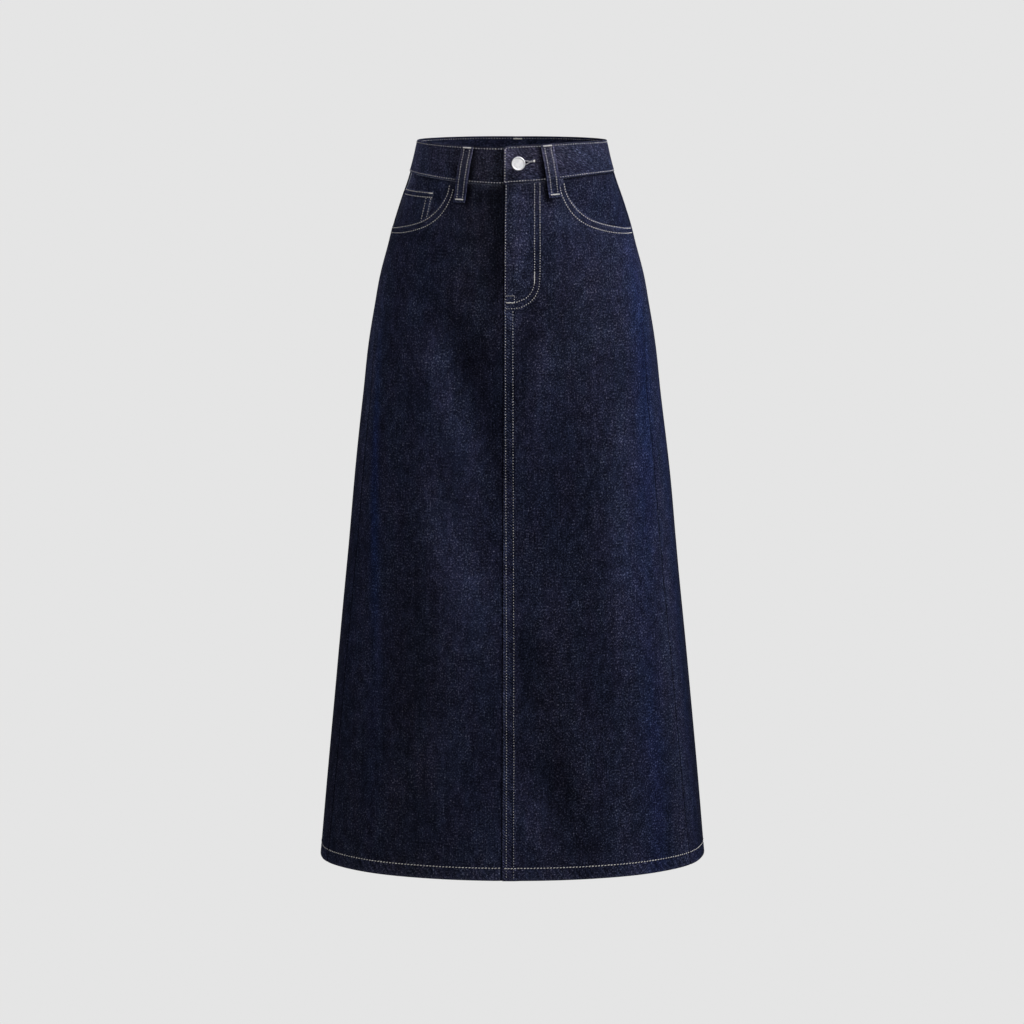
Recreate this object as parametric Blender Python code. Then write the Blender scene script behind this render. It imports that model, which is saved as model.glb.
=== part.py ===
"""A long A-line denim skirt, in the hollow shape it has when it is worn.

The front faces -Y, the wearer's left is +X and +Z is up. The origin is the centre of the waist, level
with the top edge of the waistband. Sizes are in millimetres and the scene is in metres.

Every piece of cloth is a slab in cloth coordinates (across, down, through) that is laid on one shared
surface. A place on that surface is given by its turn, in degrees round from the centre front towards the
wearer's left, its depth below the waist, and its lift, which is how far it stands off the surface.
"""

from collections import namedtuple
from math import asin, atan2, ceil, cos, degrees, exp, hypot, radians, sin

import bmesh
import bpy
from mathutils import Matrix, Vector

MM = 0.001

# Cloth and seams
CLOTH = 1.0  # one layer of denim
GAP = 0.3  # air between two pieces
LAYER = CLOTH + GAP
FOLDED = 2 * CLOTH  # two layers, as along a folded seam edge
HEM_HEIGHT = 16.0
HEM_CLOTH = 2.6  # turned up twice and pressed
LENGTH = 866.0

# Waistband
BAND_HEIGHT = 37.5
BAND_FRONT_DROP = 5.5  # its lower seam dips this much at the centre front
BAND_PROUD = 0.7
BAND_CLOTH = 2.4
BAND_LAP = BAND_CLOTH + GAP
BAND_EASE = 14.0  # length over which a lapped end steps in or out
UNDERLAP_END = 26.0

# Front opening and lapped centre seams
LAP_EDGE = -1.0  # the wearer's left side lies over the right one up to this X
SEAM_STRIP = 13.0  # X where the folded edge of a lapped seam ends
SEAM_UNDER = 10.0  # X that the lower layer reaches under the lap
SEAM_EASE = 9.0
FLY_WIDTH = 41.0  # X of the edge of the fly facing
FLY_EASE = 8.0
FLY_TURN = 156.0  # depth where the fly edge starts to curve in
FLY_END = 190.0
LAP = FOLDED + GAP
EDGE_STEP = 2.5  # length over which a folded edge thins out

# Front pockets
POCKET_START = 65.5  # X where the opening leaves the waistband
POCKET_SIDE = 141.0  # X near the side seam where it ends
POCKET_DEPTH = 100.5
POCKET_CURVE = 1.75  # 1 is a straight opening, 2 an ellipse
FACING_UNDER = 24.0  # height that a facing reaches below the opening
FACING_INWARD = 20.0  # width that it reaches behind the panel towards the centre
COIN_TOP = 55.0
COIN_EDGE = 87.0  # X of the coin pocket's upper corner
COIN_SLANT = 0.22  # its edge moves this much to the side for each unit down
COIN_UNDER = 14.0

# Belt loops
LOOP_WIDTH = 12.0
LOOP_CLOTH = 2.0
LOOP_TOP = 1.0
LOOP_END = 63.0
LOOP_BOW = 3.2
LOOP_TACK = 5.0  # length that is sewn down at each end
LOOP_RISE = 16.0  # length over which it bows out
LOOP_DROP = 6.0  # length over which it steps down from the waistband to the panel
FRONT_LOOP_TOP = 46.5  # X of a front loop's middle at its upper end, and at its lower one
FRONT_LOOP_END = 55.5
SIDE_LOOP_TURN = 122.0

# Button
BUTTON_X = 14.0
BUTTON_DEPTH = 20.5
BUTTON_RADIUS = 8.6
BUTTON_CAP = 2.6
BUTTON_RIM = 0.5
BUTTON_STEPS = 24
POST_RADIUS = 2.2
TACK_RADIUS = 4.6
TACK_CAP = 1.2
KEYHOLE_EYE = 2.7  # radius of its round end
KEYHOLE_NECK = 6.0  # distance from the post to where the slit is widest
KEYHOLE_SLIT = 1.1  # half the slit's width there
KEYHOLE_TIP = 0.2  # half its width at the far end
KEYHOLE_LENGTH = 16.0

# Zip
ZIP_FROM = 14.5
ZIP_TO = 34.0
ZIP_CHAIN = 5.0
ZIP_CHAIN_PROUD = 1.4
ZIP_CHAIN_SIDE = 0.2
ZIP_END = 160.0

# Fineness of the solids
UPPER_ROWS = 6
HIP_DEPTH = 114.0
FLY_ROWS = 3
ROW_STEP = 42.0
HEM_STEP = 2.0
POCKET_COLUMNS = 11
BACK_COLUMNS = 13
BAND_ROWS = 3
BAND_STEP = 5.0  # degrees
LOOP_ROWS = 14
SEARCH_STEPS = 6  # steps in which a point on a curved edge is closed in on

Section = namedtuple("Section", "depth half_width front back squareness")
SECTIONS = (
    Section(0, 111.0, 84, 88, 2.00),
    Section(40, 121.0, 91, 97, 2.02),
    Section(75, 133.0, 97, 108, 2.05),
    Section(120, 146.0, 102, 119, 2.10),
    Section(190, 162.0, 106, 129, 2.16),
    Section(300, 177.0, 111, 135, 2.18),
    Section(480, 196.5, 118, 141, 2.15),
    Section(680, 217.5, 126, 148, 2.10),
    Section(LENGTH, 234.5, 135, 156, 2.06),
)

# The skirt has turned a little on its wearer, so that its left side lies further back.
SKEW = 0.05

SideSeam = namedtuple("SideSeam", "depth turn")
SIDE_SEAM = (
    SideSeam(0, 88),
    SideSeam(130, 88),
    SideSeam(175, 82),
    SideSeam(215, 72),
    SideSeam(260, 68.5),
    SideSeam(320, 67),
    SideSeam(700, 67),
    SideSeam(LENGTH, 69),
)

# Soft folds: the turn where each starts and ends, the depths where it starts, is highest and ends, its
# width and its height, which is negative for a trough.
Fold = namedtuple("Fold", "turn_high turn_low start peak end width height")
FOLDS = (
    Fold(-35, -3, 140, 230, 350, 28, -2.6),
    Fold(-40, -12, 200, 300, 460, 30, 1.6),
    Fold(-29, -2, 370, 490, 620, 28, 2.0),
    Fold(-33, -30, 480, 610, 800, 34, -2.4),
    Fold(-52, -40, 180, 520, 1100, 30, 2.2),
    Fold(12, 3, 165, 240, 330, 20, -1.6),
    Fold(3, 13, 540, 590, 640, 18, -2.0),
    Fold(2, 27, 660, 735, 850, 20, -3.0),
    Fold(4, 26, 620, 700, 800, 22, 2.2),
    Fold(54, 42, 160, 460, 1100, 30, 2.4),
    Fold(84, 84, 300, 700, 1200, 44, -3.0),
    Fold(-84, -84, 300, 700, 1200, 44, -3.0),
    Fold(118, 112, 220, 620, 1200, 46, 3.4),
    Fold(-116, -111, 220, 640, 1200, 46, 3.4),
    Fold(146, 140, 300, 700, 1200, 40, -3.2),
    Fold(-148, -141, 280, 680, 1200, 40, -3.2),
    Fold(166, 163, 360, 760, 1200, 34, 2.2),
    Fold(-168, -165, 340, 740, 1200, 34, 2.0),
)


def ease(share):
    """0 to 1 as share goes from 0 to 1, level at both ends."""
    share = min(1.0, max(0.0, share))
    return share * share * (3 - 2 * share)


def between(rows, depth, column):
    """A table's column at this depth, on a smooth curve through its rows."""
    after = next((i for i, row in enumerate(rows) if row.depth >= depth), len(rows) - 1)
    i = max(1, after)
    low, high = rows[i - 1], rows[i]
    span = high.depth - low.depth
    share = min(1.0, max(0.0, (depth - low.depth) / span))

    def slope(k):
        first, last = rows[max(0, k - 1)], rows[min(len(rows) - 1, k + 1)]
        return (getattr(last, column) - getattr(first, column)) / (last.depth - first.depth)

    start, end = getattr(low, column), getattr(high, column)
    bend = start + share * slope(i - 1) * span
    unbend = end - (1 - share) * slope(i) * span
    return bend + ease(share) * (unbend - bend)


def turn_at(x, depth):
    """The turn on the front half where the surface has this X."""
    width = between(SECTIONS, depth, "half_width")
    power = between(SECTIONS, depth, "squareness") / 2
    turn = degrees(asin(min(1.0, (abs(x) / width) ** power)))
    return turn if x > 0 else -turn


def outline(turn, depth):
    """X and Y of the plain surface, without its folds."""
    across, along = sin(radians(turn)), cos(radians(turn))
    power = 2 / between(SECTIONS, depth, "squareness")
    reach = between(SECTIONS, depth, "front" if along > 0 else "back")
    x = between(SECTIONS, depth, "half_width") * abs(across) ** power
    y = reach * abs(along) ** power
    x, y = (x if across > 0 else -x), (-y if along > 0 else y)
    return x, y + SKEW * x


def fold_height(turn, depth):
    total = 0.0
    for fold in FOLDS:
        if not fold.start < depth < fold.end:
            continue
        share = (depth - fold.start) / (fold.peak - fold.start)
        rise = ease(share) if share < 1 else 1 - ease((depth - fold.peak) / (fold.end - fold.peak))
        drift = min(1.0, (depth - fold.start) / (min(fold.end, LENGTH) - fold.start))
        middle = fold.turn_high + (fold.turn_low - fold.turn_high) * drift
        away = (turn - middle + 180) % 360 - 180
        reach = hypot(*outline(middle, depth))
        total += fold.height * rise * exp(-((radians(away) * reach / fold.width) ** 2))
    return total


def face(turn, depth):
    """A point of the skirt's surface, in millimetres."""
    x, y = outline(turn, depth)
    out = fold_height(turn, depth)
    way = atan2(x / between(SECTIONS, depth, "half_width") ** 2, -y / between(SECTIONS, depth, "front") ** 2)
    return Vector((x + out * sin(way), y - out * cos(way), -depth))


def lifted(turn, depth, lift):
    """The point that stands off the surface by lift, along its normal."""
    round_step, down_step = 0.4, 1.5
    around = face(turn + round_step, depth) - face(turn - round_step, depth)
    down = face(turn, depth + down_step) - face(turn, depth - down_step)
    return face(turn, depth) + down.cross(around).normalized() * lift


def band_seam(turn):
    """Depth of the seam between the waistband and the panels."""
    return BAND_HEIGHT + BAND_FRONT_DROP * max(0.0, cos(radians(turn))) ** 3


def pocket_edge(x):
    """Depth of the pocket opening at this distance from the centre front."""
    share = min(1.0, max(0.0, (x - POCKET_START) / (POCKET_SIDE - POCKET_START)))
    top = band_seam(turn_at(POCKET_START, BAND_HEIGHT))
    return top + (POCKET_DEPTH - top) * (1 - (1 - share) ** POCKET_CURVE) ** (1 / POCKET_CURVE)


def fly_edge(depth):
    """X of the inner edge of the folded layer behind the wearer's left front."""
    share = min(1.0, max(0.0, (depth - FLY_TURN) / (FLY_END - FLY_TURN)))
    return SEAM_STRIP + (FLY_WIDTH - SEAM_STRIP) * (1 - share**2) ** 0.5


def even(first, last, count):
    """count + 1 values from first to last."""
    return [first + (last - first) * i / count for i in range(count + 1)]


def lower_rows():
    """Depths of the rows from the hip line to the hem, the same on every panel."""
    hem_line = LENGTH - HEM_HEIGHT
    rows = even(HIP_DEPTH, FLY_END, FLY_ROWS)[:-1]
    rows += even(FLY_END, hem_line - HEM_STEP / 2, ceil((hem_line - FLY_END) / ROW_STEP))
    return rows + [hem_line + HEM_STEP / 2, LENGTH]


def rows_from(top):
    return even(top, HIP_DEPTH, UPPER_ROWS)[:-1] + lower_rows()


def side_turn(depth, into=0.0):
    """Turn of the side seam, moved into the front panel by some millimetres."""
    turn = between(SIDE_SEAM, depth, "turn")
    return turn - degrees(into / hypot(*outline(turn, depth)))


def hem_cloth(depth):
    return HEM_CLOTH if depth > LENGTH - HEM_HEIGHT else CLOTH


def front_columns(depth, left):
    """The turns of a front panel's columns at this depth, from the centre to the side seam."""
    if left:
        edge = fly_edge(depth)
        near = even(LAP_EDGE, edge - EDGE_STEP, 3) + [edge, edge + FLY_EASE / 2]
        near += even(edge + FLY_EASE, POCKET_START, 2)[:-1]
    else:
        near = even(-SEAM_UNDER, -LAP_EDGE, 3) + [-LAP_EDGE + FLY_EASE / 2]
        near += even(-LAP_EDGE + FLY_EASE, POCKET_START, 4)[:-1]
    start = turn_at(POCKET_START, depth)
    far = even(start, side_turn(depth, GAP / 2), POCKET_COLUMNS)
    return [turn_at(x, depth) for x in near] + far


def front_top(column, left):
    """Depth of a front panel's top edge in this column: the band's seam, then the pocket opening."""
    top = band_seam(turn_at(POCKET_START, BAND_HEIGHT)) + GAP
    turns = front_columns(top, left)
    if column < len(turns) - POCKET_COLUMNS:
        return band_seam(turns[column]) + GAP
    for _ in range(SEARCH_STEPS):
        top = pocket_edge(outline(front_columns(top, left)[column], top)[0]) + GAP
    return top


def front_lift(x, depth, left):
    """How far a front panel stands off the surface near the centre. x is positive on its own side."""
    if left:
        return LAP / 2 * (1 - ease((x - fly_edge(depth)) / FLY_EASE))
    return -LAP / 2 * (1 - ease((x + LAP_EDGE) / FLY_EASE))


def front_point(column, row, through, left):
    """A point of a front panel. Both panels are worked out on the wearer's left side, as mirror images."""
    depth = rows_from(front_top(column, left))[row]
    turn = front_columns(depth, left)[column]
    x = outline(turn, depth)[0]
    thick = hem_cloth(depth)
    if left and x < fly_edge(depth) - EDGE_STEP / 2:
        thick = FOLDED
    side = 1 if left else -1
    return lifted(side * turn, depth, front_lift(x, depth, left) - through * thick)


def back_columns(depth, left):
    """The turns of a back panel's columns at this depth, from the side seam to the centre."""
    if left:
        near = [SEAM_STRIP + SEAM_EASE, SEAM_STRIP, LAP_EDGE]
    else:
        near = [-LAP_EDGE + SEAM_EASE, -LAP_EDGE, -SEAM_UNDER]
    near = [180 - turn_at(x, depth) for x in near]
    return even(side_turn(depth, -GAP / 2), near[0], BACK_COLUMNS)[:-1] + near


def back_point(column, row, through, left):
    """A point of a back panel. The wearer's left one lies over the right one, as in front."""
    depth = rows_from(BAND_HEIGHT + GAP)[row]
    turn = back_columns(depth, left)[column]
    x = outline(turn, depth)[0]
    thick = hem_cloth(depth)
    if left:
        lift = LAP / 2 * (1 - ease((x - SEAM_STRIP) / SEAM_EASE))
        if x < SEAM_STRIP + EDGE_STEP / 2:
            thick = FOLDED
    else:
        lift = -LAP / 2 * (1 - ease((x + LAP_EDGE) / SEAM_EASE))
    side = 1 if left else -1
    return lifted(side * turn, depth, lift - through * thick)


def finish_mesh(name, bm, material):
    """Makes an object of a bmesh whose points are in millimetres."""
    bmesh.ops.scale(bm, verts=bm.verts, vec=(MM, MM, MM))
    bmesh.ops.recalc_face_normals(bm, faces=bm.faces)
    mesh = bpy.data.meshes.new(name)
    bm.to_mesh(mesh)
    bm.free()
    mesh.shade_smooth()
    mesh.set_sharp_from_angle(angle=radians(40))
    mesh.materials.append(material)
    piece = bpy.data.objects.new(name, mesh)
    bpy.context.scene.collection.objects.link(piece)
    return piece


def raise_by(bm, faces, height):
    """Extrudes flat faces into a solid of this height."""
    raised = bmesh.ops.extrude_face_region(bm, geom=faces, use_keep_orig=True)
    verts = [item for item in raised["geom"] if isinstance(item, bmesh.types.BMVert)]
    bmesh.ops.translate(bm, verts=verts, vec=(0, 0, height))


def sew(name, columns, rows, place, material):
    """A slab of cloth with this many cells. place(column, row, through) gives its points: through is 0 on the
    outside and 1 on the inside."""
    bm = bmesh.new()
    bmesh.ops.create_grid(bm, x_segments=columns, y_segments=rows, size=0.5)
    raise_by(bm, bm.faces[:], 1)
    for vertex in bm.verts:
        column = round((vertex.co.x + 0.5) * columns)
        row = round((0.5 - vertex.co.y) * rows)
        vertex.co = place(column, row, round(vertex.co.z))
    return finish_mesh(name, bm, material)


def make_panels(denim):
    rows = len(rows_from(0)) - 1
    for left, side in ((True, "left"), (False, "right")):
        columns = len(front_columns(HIP_DEPTH, left)) - 1
        sew(f"front_{side}", columns, rows, lambda c, r, t, left=left: front_point(c, r, t, left), denim)
        columns = len(back_columns(HIP_DEPTH, left)) - 1
        sew(f"back_{side}", columns, rows, lambda c, r, t, left=left: back_point(c, r, t, left), denim)


def make_pocket_facing(left, denim):
    """The cloth that shows inside a pocket opening. The right one lies deeper, under the coin pocket."""
    side, lift = (1, -LAYER) if left else (-1, -2 * LAYER - GAP)
    columns, rows = POCKET_COLUMNS + 2, UPPER_ROWS + 2

    def turns(depth):
        near = even(turn_at(POCKET_START - FACING_INWARD, depth), turn_at(POCKET_START, depth), 2)
        return near[:-1] + even(near[-1], side_turn(depth, GAP / 2), POCKET_COLUMNS)

    def place(column, row, through):
        top = band_seam(turns(BAND_HEIGHT)[column]) + GAP
        bottom = top
        for _ in range(SEARCH_STEPS):
            bottom = pocket_edge(outline(turns(bottom)[column], bottom)[0]) + FACING_UNDER
        depth = even(top, bottom, rows)[row]
        return lifted(side * turns(depth)[column], depth, lift - through * CLOTH)

    sew(f"pocket_facing_{'left' if left else 'right'}", columns, rows, place, denim)


def make_coin_pocket(denim):
    """A patch on the right pocket facing, sewn into the side seam, with its lower edge under the panel."""
    columns, rows = 6, 6

    def place(column, row, through):
        share = column / columns
        bottom = pocket_edge(COIN_EDGE + (POCKET_SIDE - COIN_EDGE) * share) + COIN_UNDER
        depth = even(COIN_TOP, bottom, rows)[row]
        edge = turn_at(COIN_EDGE + COIN_SLANT * (depth - COIN_TOP), depth)
        turn = edge + (side_turn(depth, GAP / 2) - edge) * share
        return lifted(-turn, depth, -LAYER - GAP / 2 - through * CLOTH)

    sew("coin_pocket", columns, rows, place, denim)


def make_waistband(denim):
    """One long strip. It starts under the front opening, goes once round and ends over its own start."""
    under_end = turn_at(UNDERLAP_END, BAND_HEIGHT / 2)
    over_end = turn_at(LAP_EDGE, BAND_HEIGHT / 2) - 360
    columns = ceil((under_end - over_end) / BAND_STEP)

    def place(column, row, through):
        turn = under_end + (over_end - under_end) * column / columns
        depth = band_seam(turn) * row / BAND_ROWS
        x = outline(turn, depth)[0]
        lift = BAND_PROUD
        if turn > -90:
            lift -= BAND_LAP / 2 * (1 - ease((LAP_EDGE - x) / BAND_EASE))
        if turn < -270:
            lift += BAND_LAP / 2 * (1 - ease((x - UNDERLAP_END) / BAND_EASE))
        return lifted(turn, depth, lift - through * BAND_CLOTH)

    return sew("waistband", columns, BAND_ROWS, place, denim)


def button_frame():
    """Places something on the waistband at the button, with its Z axis out of the cloth and X to the left."""
    turn = turn_at(BUTTON_X, BUTTON_DEPTH)
    seat = lifted(turn, BUTTON_DEPTH, 0)
    out = (lifted(turn, BUTTON_DEPTH, 1) - seat).normalized()
    level = Vector((0, 0, 1)).cross(out).normalized()
    turned = Matrix((level, out.cross(level), out)).transposed().to_4x4()
    return Matrix.Translation(seat * MM) @ turned


def make_button(metal):
    """A shank button: its post goes through the buttonhole to the tack behind the lower end of the band."""
    outer = BAND_PROUD + BAND_LAP / 2 + GAP
    crown = outer + BUTTON_CAP
    inner = BAND_PROUD - BAND_LAP / 2 - BAND_CLOTH - GAP
    profile = (  # (radius, height)
        (0, crown - BUTTON_RIM),
        (BUTTON_RADIUS - 1.6, crown - BUTTON_RIM),
        (BUTTON_RADIUS - 1.0, crown),
        (BUTTON_RADIUS - 0.4, crown - 0.1),
        (BUTTON_RADIUS, crown - 0.7),
        (BUTTON_RADIUS - 0.2, outer + 0.5),
        (BUTTON_RADIUS - 0.9, outer),
        (POST_RADIUS, outer),
        (POST_RADIUS, inner),
        (TACK_RADIUS - 0.3, inner),
        (TACK_RADIUS, inner - TACK_CAP / 2),
        (TACK_RADIUS - 0.6, inner - TACK_CAP),
        (0, inner - TACK_CAP),
    )
    bm = bmesh.new()
    points = [bm.verts.new((radius, 0, height)) for radius, height in profile]
    lines = [bm.edges.new(pair) for pair in zip(points, points[1:])]
    turn = {"cent": (0, 0, 0), "axis": (0, 0, 1), "angle": radians(360)}
    bmesh.ops.spin(bm, geom=points + lines, steps=BUTTON_STEPS, use_merge=True, **turn)
    bmesh.ops.remove_doubles(bm, verts=bm.verts, dist=0.01)
    finish_mesh("button", bm, metal).matrix_world = button_frame()


def keyhole_cutter(denim):
    """The buttonhole: a round eye at the post and a slit that narrows away from the front edge."""
    eye = [(KEYHOLE_EYE * cos(radians(a)), KEYHOLE_EYE * sin(radians(a))) for a in even(40, 320, 10)]
    slit = [
        (KEYHOLE_NECK, -KEYHOLE_SLIT),
        (KEYHOLE_LENGTH, -KEYHOLE_TIP),
        (KEYHOLE_LENGTH, KEYHOLE_TIP),
        (KEYHOLE_NECK, KEYHOLE_SLIT),
    ]
    between_ends = BAND_PROUD - BAND_LAP / 2 + GAP / 2
    bm = bmesh.new()
    floor = bm.faces.new([bm.verts.new((x, y, between_ends)) for x, y in eye + slit])
    raise_by(bm, [floor], 2 * BAND_LAP)
    return finish_mesh("keyhole_cutter", bm, denim)


def post_cutter(denim):
    """The round hole for the post in the lower end of the band."""
    bm = bmesh.new()
    radius = POST_RADIUS + GAP
    size = {"radius1": radius, "radius2": radius, "depth": 4 * BAND_LAP}
    bmesh.ops.create_cone(bm, cap_ends=True, segments=16, **size)
    return finish_mesh("post_cutter", bm, denim)


def cut(piece, cutter):
    cutter.matrix_world = button_frame()
    cutter.hide_render = True
    cutter.display_type = "WIRE"
    hole = piece.modifiers.new(cutter.name, "BOOLEAN")
    hole.operation = "DIFFERENCE"
    hole.object = cutter


def make_belt_loop(name, top_turn, end_turn, seam_lift, denim):
    """A strip sewn down at both ends and bowed between them. It leans from top_turn to end_turn. Its lower
    end lies on cloth that stands off the surface by seam_lift."""
    columns = 2

    def place(column, row, through):
        share = row / LOOP_ROWS
        depth = LOOP_TOP + (LOOP_END - LOOP_TOP) * share
        middle = top_turn + (end_turn - top_turn) * share
        turn = middle + degrees(LOOP_WIDTH * (column / columns - 0.5) / hypot(*outline(middle, depth)))
        from_top, from_end = depth - LOOP_TOP - LOOP_TACK, LOOP_END - LOOP_TACK - depth
        bow = LOOP_BOW * ease(from_top / LOOP_RISE) * ease(from_end / LOOP_RISE)
        on_band = 1 - ease((depth - band_seam(turn)) / LOOP_DROP)
        seat = seam_lift + (BAND_PROUD - seam_lift) * on_band + GAP
        return lifted(turn, depth, seat + bow + (1 - through) * LOOP_CLOTH)

    sew(name, columns, LOOP_ROWS, place, denim)


def make_zip(tape):
    """The closed zip behind the fly, with its chain standing proud on the inside."""
    chain = [ZIP_FROM + ZIP_CHAIN_SIDE, ZIP_FROM + ZIP_CHAIN]
    stations = [ZIP_FROM, *chain] + even(chain[1] + ZIP_CHAIN_SIDE, ZIP_TO, 2)
    columns, rows = len(stations) - 1, 8

    def place(column, row, through):
        depth = even(band_seam(0) + GAP, ZIP_END, rows)[row]
        turn = turn_at(stations[column], depth)
        thick = CLOTH + (ZIP_CHAIN_PROUD if stations[column] in chain else 0)
        return lifted(turn, depth, -LAP / 2 - GAP / 2 - through * thick)

    sew("zip", columns, rows, place, tape)


def material(name, colour, roughness, metallic=0.0):
    finish = bpy.data.materials.new(name)
    finish.use_nodes = True
    shader = finish.node_tree.nodes["Principled BSDF"]
    shader.inputs["Base Color"].default_value = (*colour, 1)
    shader.inputs["Roughness"].default_value = roughness
    shader.inputs["Metallic"].default_value = metallic
    return finish


def main():
    for obj in list(bpy.data.objects):
        bpy.data.objects.remove(obj)
    denim = material("denim", (0.012, 0.014, 0.028), 0.85)
    metal = material("button_metal", (0.72, 0.72, 0.74), 0.35, 1.0)
    tape = material("zip_tape", (0.01, 0.012, 0.022), 0.8)

    make_panels(denim)
    for left in (True, False):
        make_pocket_facing(left, denim)
    make_coin_pocket(denim)
    band = make_waistband(denim)
    cut(band, keyhole_cutter(denim))
    cut(band, post_cutter(denim))
    make_button(metal)
    make_zip(tape)
    front_top_turn, front_end_turn = turn_at(FRONT_LOOP_TOP, 0), turn_at(FRONT_LOOP_END, LOOP_END)
    make_belt_loop("belt_loop_front_left", front_top_turn, front_end_turn, 0, denim)
    make_belt_loop("belt_loop_front_right", -front_top_turn, -front_end_turn, 0, denim)
    make_belt_loop("belt_loop_side_left", SIDE_LOOP_TURN, SIDE_LOOP_TURN, 0, denim)
    make_belt_loop("belt_loop_side_right", -SIDE_LOOP_TURN, -SIDE_LOOP_TURN, 0, denim)
    make_belt_loop("belt_loop_back", 180, 180, LAP / 2, denim)


main()
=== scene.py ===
from math import ceil, cos, radians, sin

import bmesh
import bpy
import numpy as np
from mathutils import Matrix, Vector


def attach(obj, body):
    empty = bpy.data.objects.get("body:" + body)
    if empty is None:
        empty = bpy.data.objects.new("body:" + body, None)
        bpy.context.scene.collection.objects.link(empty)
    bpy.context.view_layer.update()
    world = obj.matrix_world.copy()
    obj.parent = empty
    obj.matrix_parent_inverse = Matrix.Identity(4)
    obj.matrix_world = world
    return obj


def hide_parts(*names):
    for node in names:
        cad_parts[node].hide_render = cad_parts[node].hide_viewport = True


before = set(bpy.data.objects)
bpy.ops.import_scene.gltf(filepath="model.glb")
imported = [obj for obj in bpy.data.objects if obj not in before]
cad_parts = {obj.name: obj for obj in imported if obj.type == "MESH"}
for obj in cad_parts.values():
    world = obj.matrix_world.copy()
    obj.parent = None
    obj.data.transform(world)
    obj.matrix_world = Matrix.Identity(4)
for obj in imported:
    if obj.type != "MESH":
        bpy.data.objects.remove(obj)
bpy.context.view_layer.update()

mm = 0.001
chance = np.random.default_rng(11)

# The skirt's surface, in millimetres. A place on it is its turn, in degrees round from the centre front
# towards the wearer's left, its depth below the waist and its lift off the surface.
skirt = {
    "length": 866,
    "skew": 0.05,  # the left side has turned back a little
    "cloth": 1.0,
    "folded": 2.0,
    "edgeRound": 0.46,  # radius of an edge, as a share of the cloth's thickness
    "gap": 0.3,
    "sideLap": 0.15,  # how far each panel passes the side seam, so that no light comes through
    "sideRoll": 0.9,  # how far the pressed edges roll in at the side seam
    "rollWidth": 3.5,
    "lapEdge": -1.0,  # from the centre
    "seamStrip": 13,  # width of a lapped seam
    "seamUnder": 10,
    "seamEase": 9,
    "hemHeight": 16,
    "hemCloth": 2.6,
    "hemStitches": 15.5,  # their height above the edge
    "flyInset": 1.25,  # how far the folded cloth ends inside the fly's curve
    "stripOver": 1,  # and beyond the back's lapped seam
    "cell": 4.0,  # size of the mesh's cells
}
lapStep = skirt["folded"] + skirt["gap"]
layerStep = skirt["cloth"] + skirt["gap"]
sections = {
    "depth": [0, 40, 75, 120, 190, 300, 480, 680, 866],
    "halfWidth": [111, 121, 133, 146, 162, 177, 196.5, 217.5, 234.5],
    "front": [84, 91, 97, 102, 106, 111, 118, 126, 135],
    "back": [88, 97, 108, 119, 129, 135, 141, 148, 156],
    "squareness": [2.00, 2.02, 2.05, 2.10, 2.16, 2.18, 2.15, 2.10, 2.06],
}
sideSeam = {
    "depth": [0, 130, 175, 215, 260, 320, 700, 866],
    "turn": [88, 88, 82, 72, 68.5, 67, 67, 69],
}
# Folds: turn at the start and the end, depth of the start, the peak and the end, width, height
folds = [
    (-35, -3, 140, 230, 350, 28, -2.6),
    (-40, -12, 200, 300, 460, 30, 1.6),
    (-29, -2, 370, 490, 620, 28, 2.0),
    (-33, -30, 480, 610, 800, 34, -2.4),
    (-52, -40, 180, 520, 1100, 30, 2.2),
    (12, 3, 165, 240, 330, 20, -1.6),
    (3, 13, 540, 590, 640, 18, -2.0),
    (2, 27, 660, 735, 850, 20, -3.0),
    (4, 26, 620, 700, 800, 22, 2.2),
    (54, 42, 160, 460, 1100, 30, 2.4),
    (84, 84, 300, 700, 1200, 44, -3.0),
    (-84, -84, 300, 700, 1200, 44, -3.0),
    (118, 112, 220, 620, 1200, 46, 3.4),
    (-116, -111, 220, 640, 1200, 46, 3.4),
    (146, 140, 300, 700, 1200, 40, -3.2),
    (-148, -141, 280, 680, 1200, 40, -3.2),
    (166, 163, 360, 760, 1200, 34, 2.2),
    (-168, -165, 340, 740, 1200, 34, 2.0),
]


def ease(share):
    share = np.clip(share, 0, 1)
    return share * share * (3 - 2 * share)


def between(table, column, depth, key="depth"):
    at, value = np.array(table[key], float), np.array(table[column], float)
    after, before = np.append(np.arange(1, len(at)), len(at) - 1), np.insert(np.arange(len(at) - 1), 0, 0)
    slope = (value[after] - value[before]) / (at[after] - at[before])
    high = np.clip(np.searchsorted(at, depth), 1, len(at) - 1)
    low = high - 1
    span = at[high] - at[low]
    share = np.clip((depth - at[low]) / span, 0, 1)
    bend = value[low] + share * slope[low] * span
    unbend = value[high] - (1 - share) * slope[high] * span
    return bend + ease(share) * (unbend - bend)


def turnAt(x, depth):  # on the front half
    power = between(sections, "squareness", depth) / 2
    share = np.minimum(1, np.abs(x) / between(sections, "halfWidth", depth))
    return np.sign(x) * np.degrees(np.arcsin(share**power))


def outline(turn, depth):
    across, along = np.sin(np.radians(turn)), np.cos(np.radians(turn))
    power = 2 / between(sections, "squareness", depth)
    reach = np.where(along > 0, between(sections, "front", depth), between(sections, "back", depth))
    x = np.sign(across) * between(sections, "halfWidth", depth) * np.abs(across) ** power
    y = -np.sign(along) * reach * np.abs(along) ** power
    return x, y + skirt["skew"] * x


def reachAt(turn, depth):
    return np.hypot(*outline(turn, depth))


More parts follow.
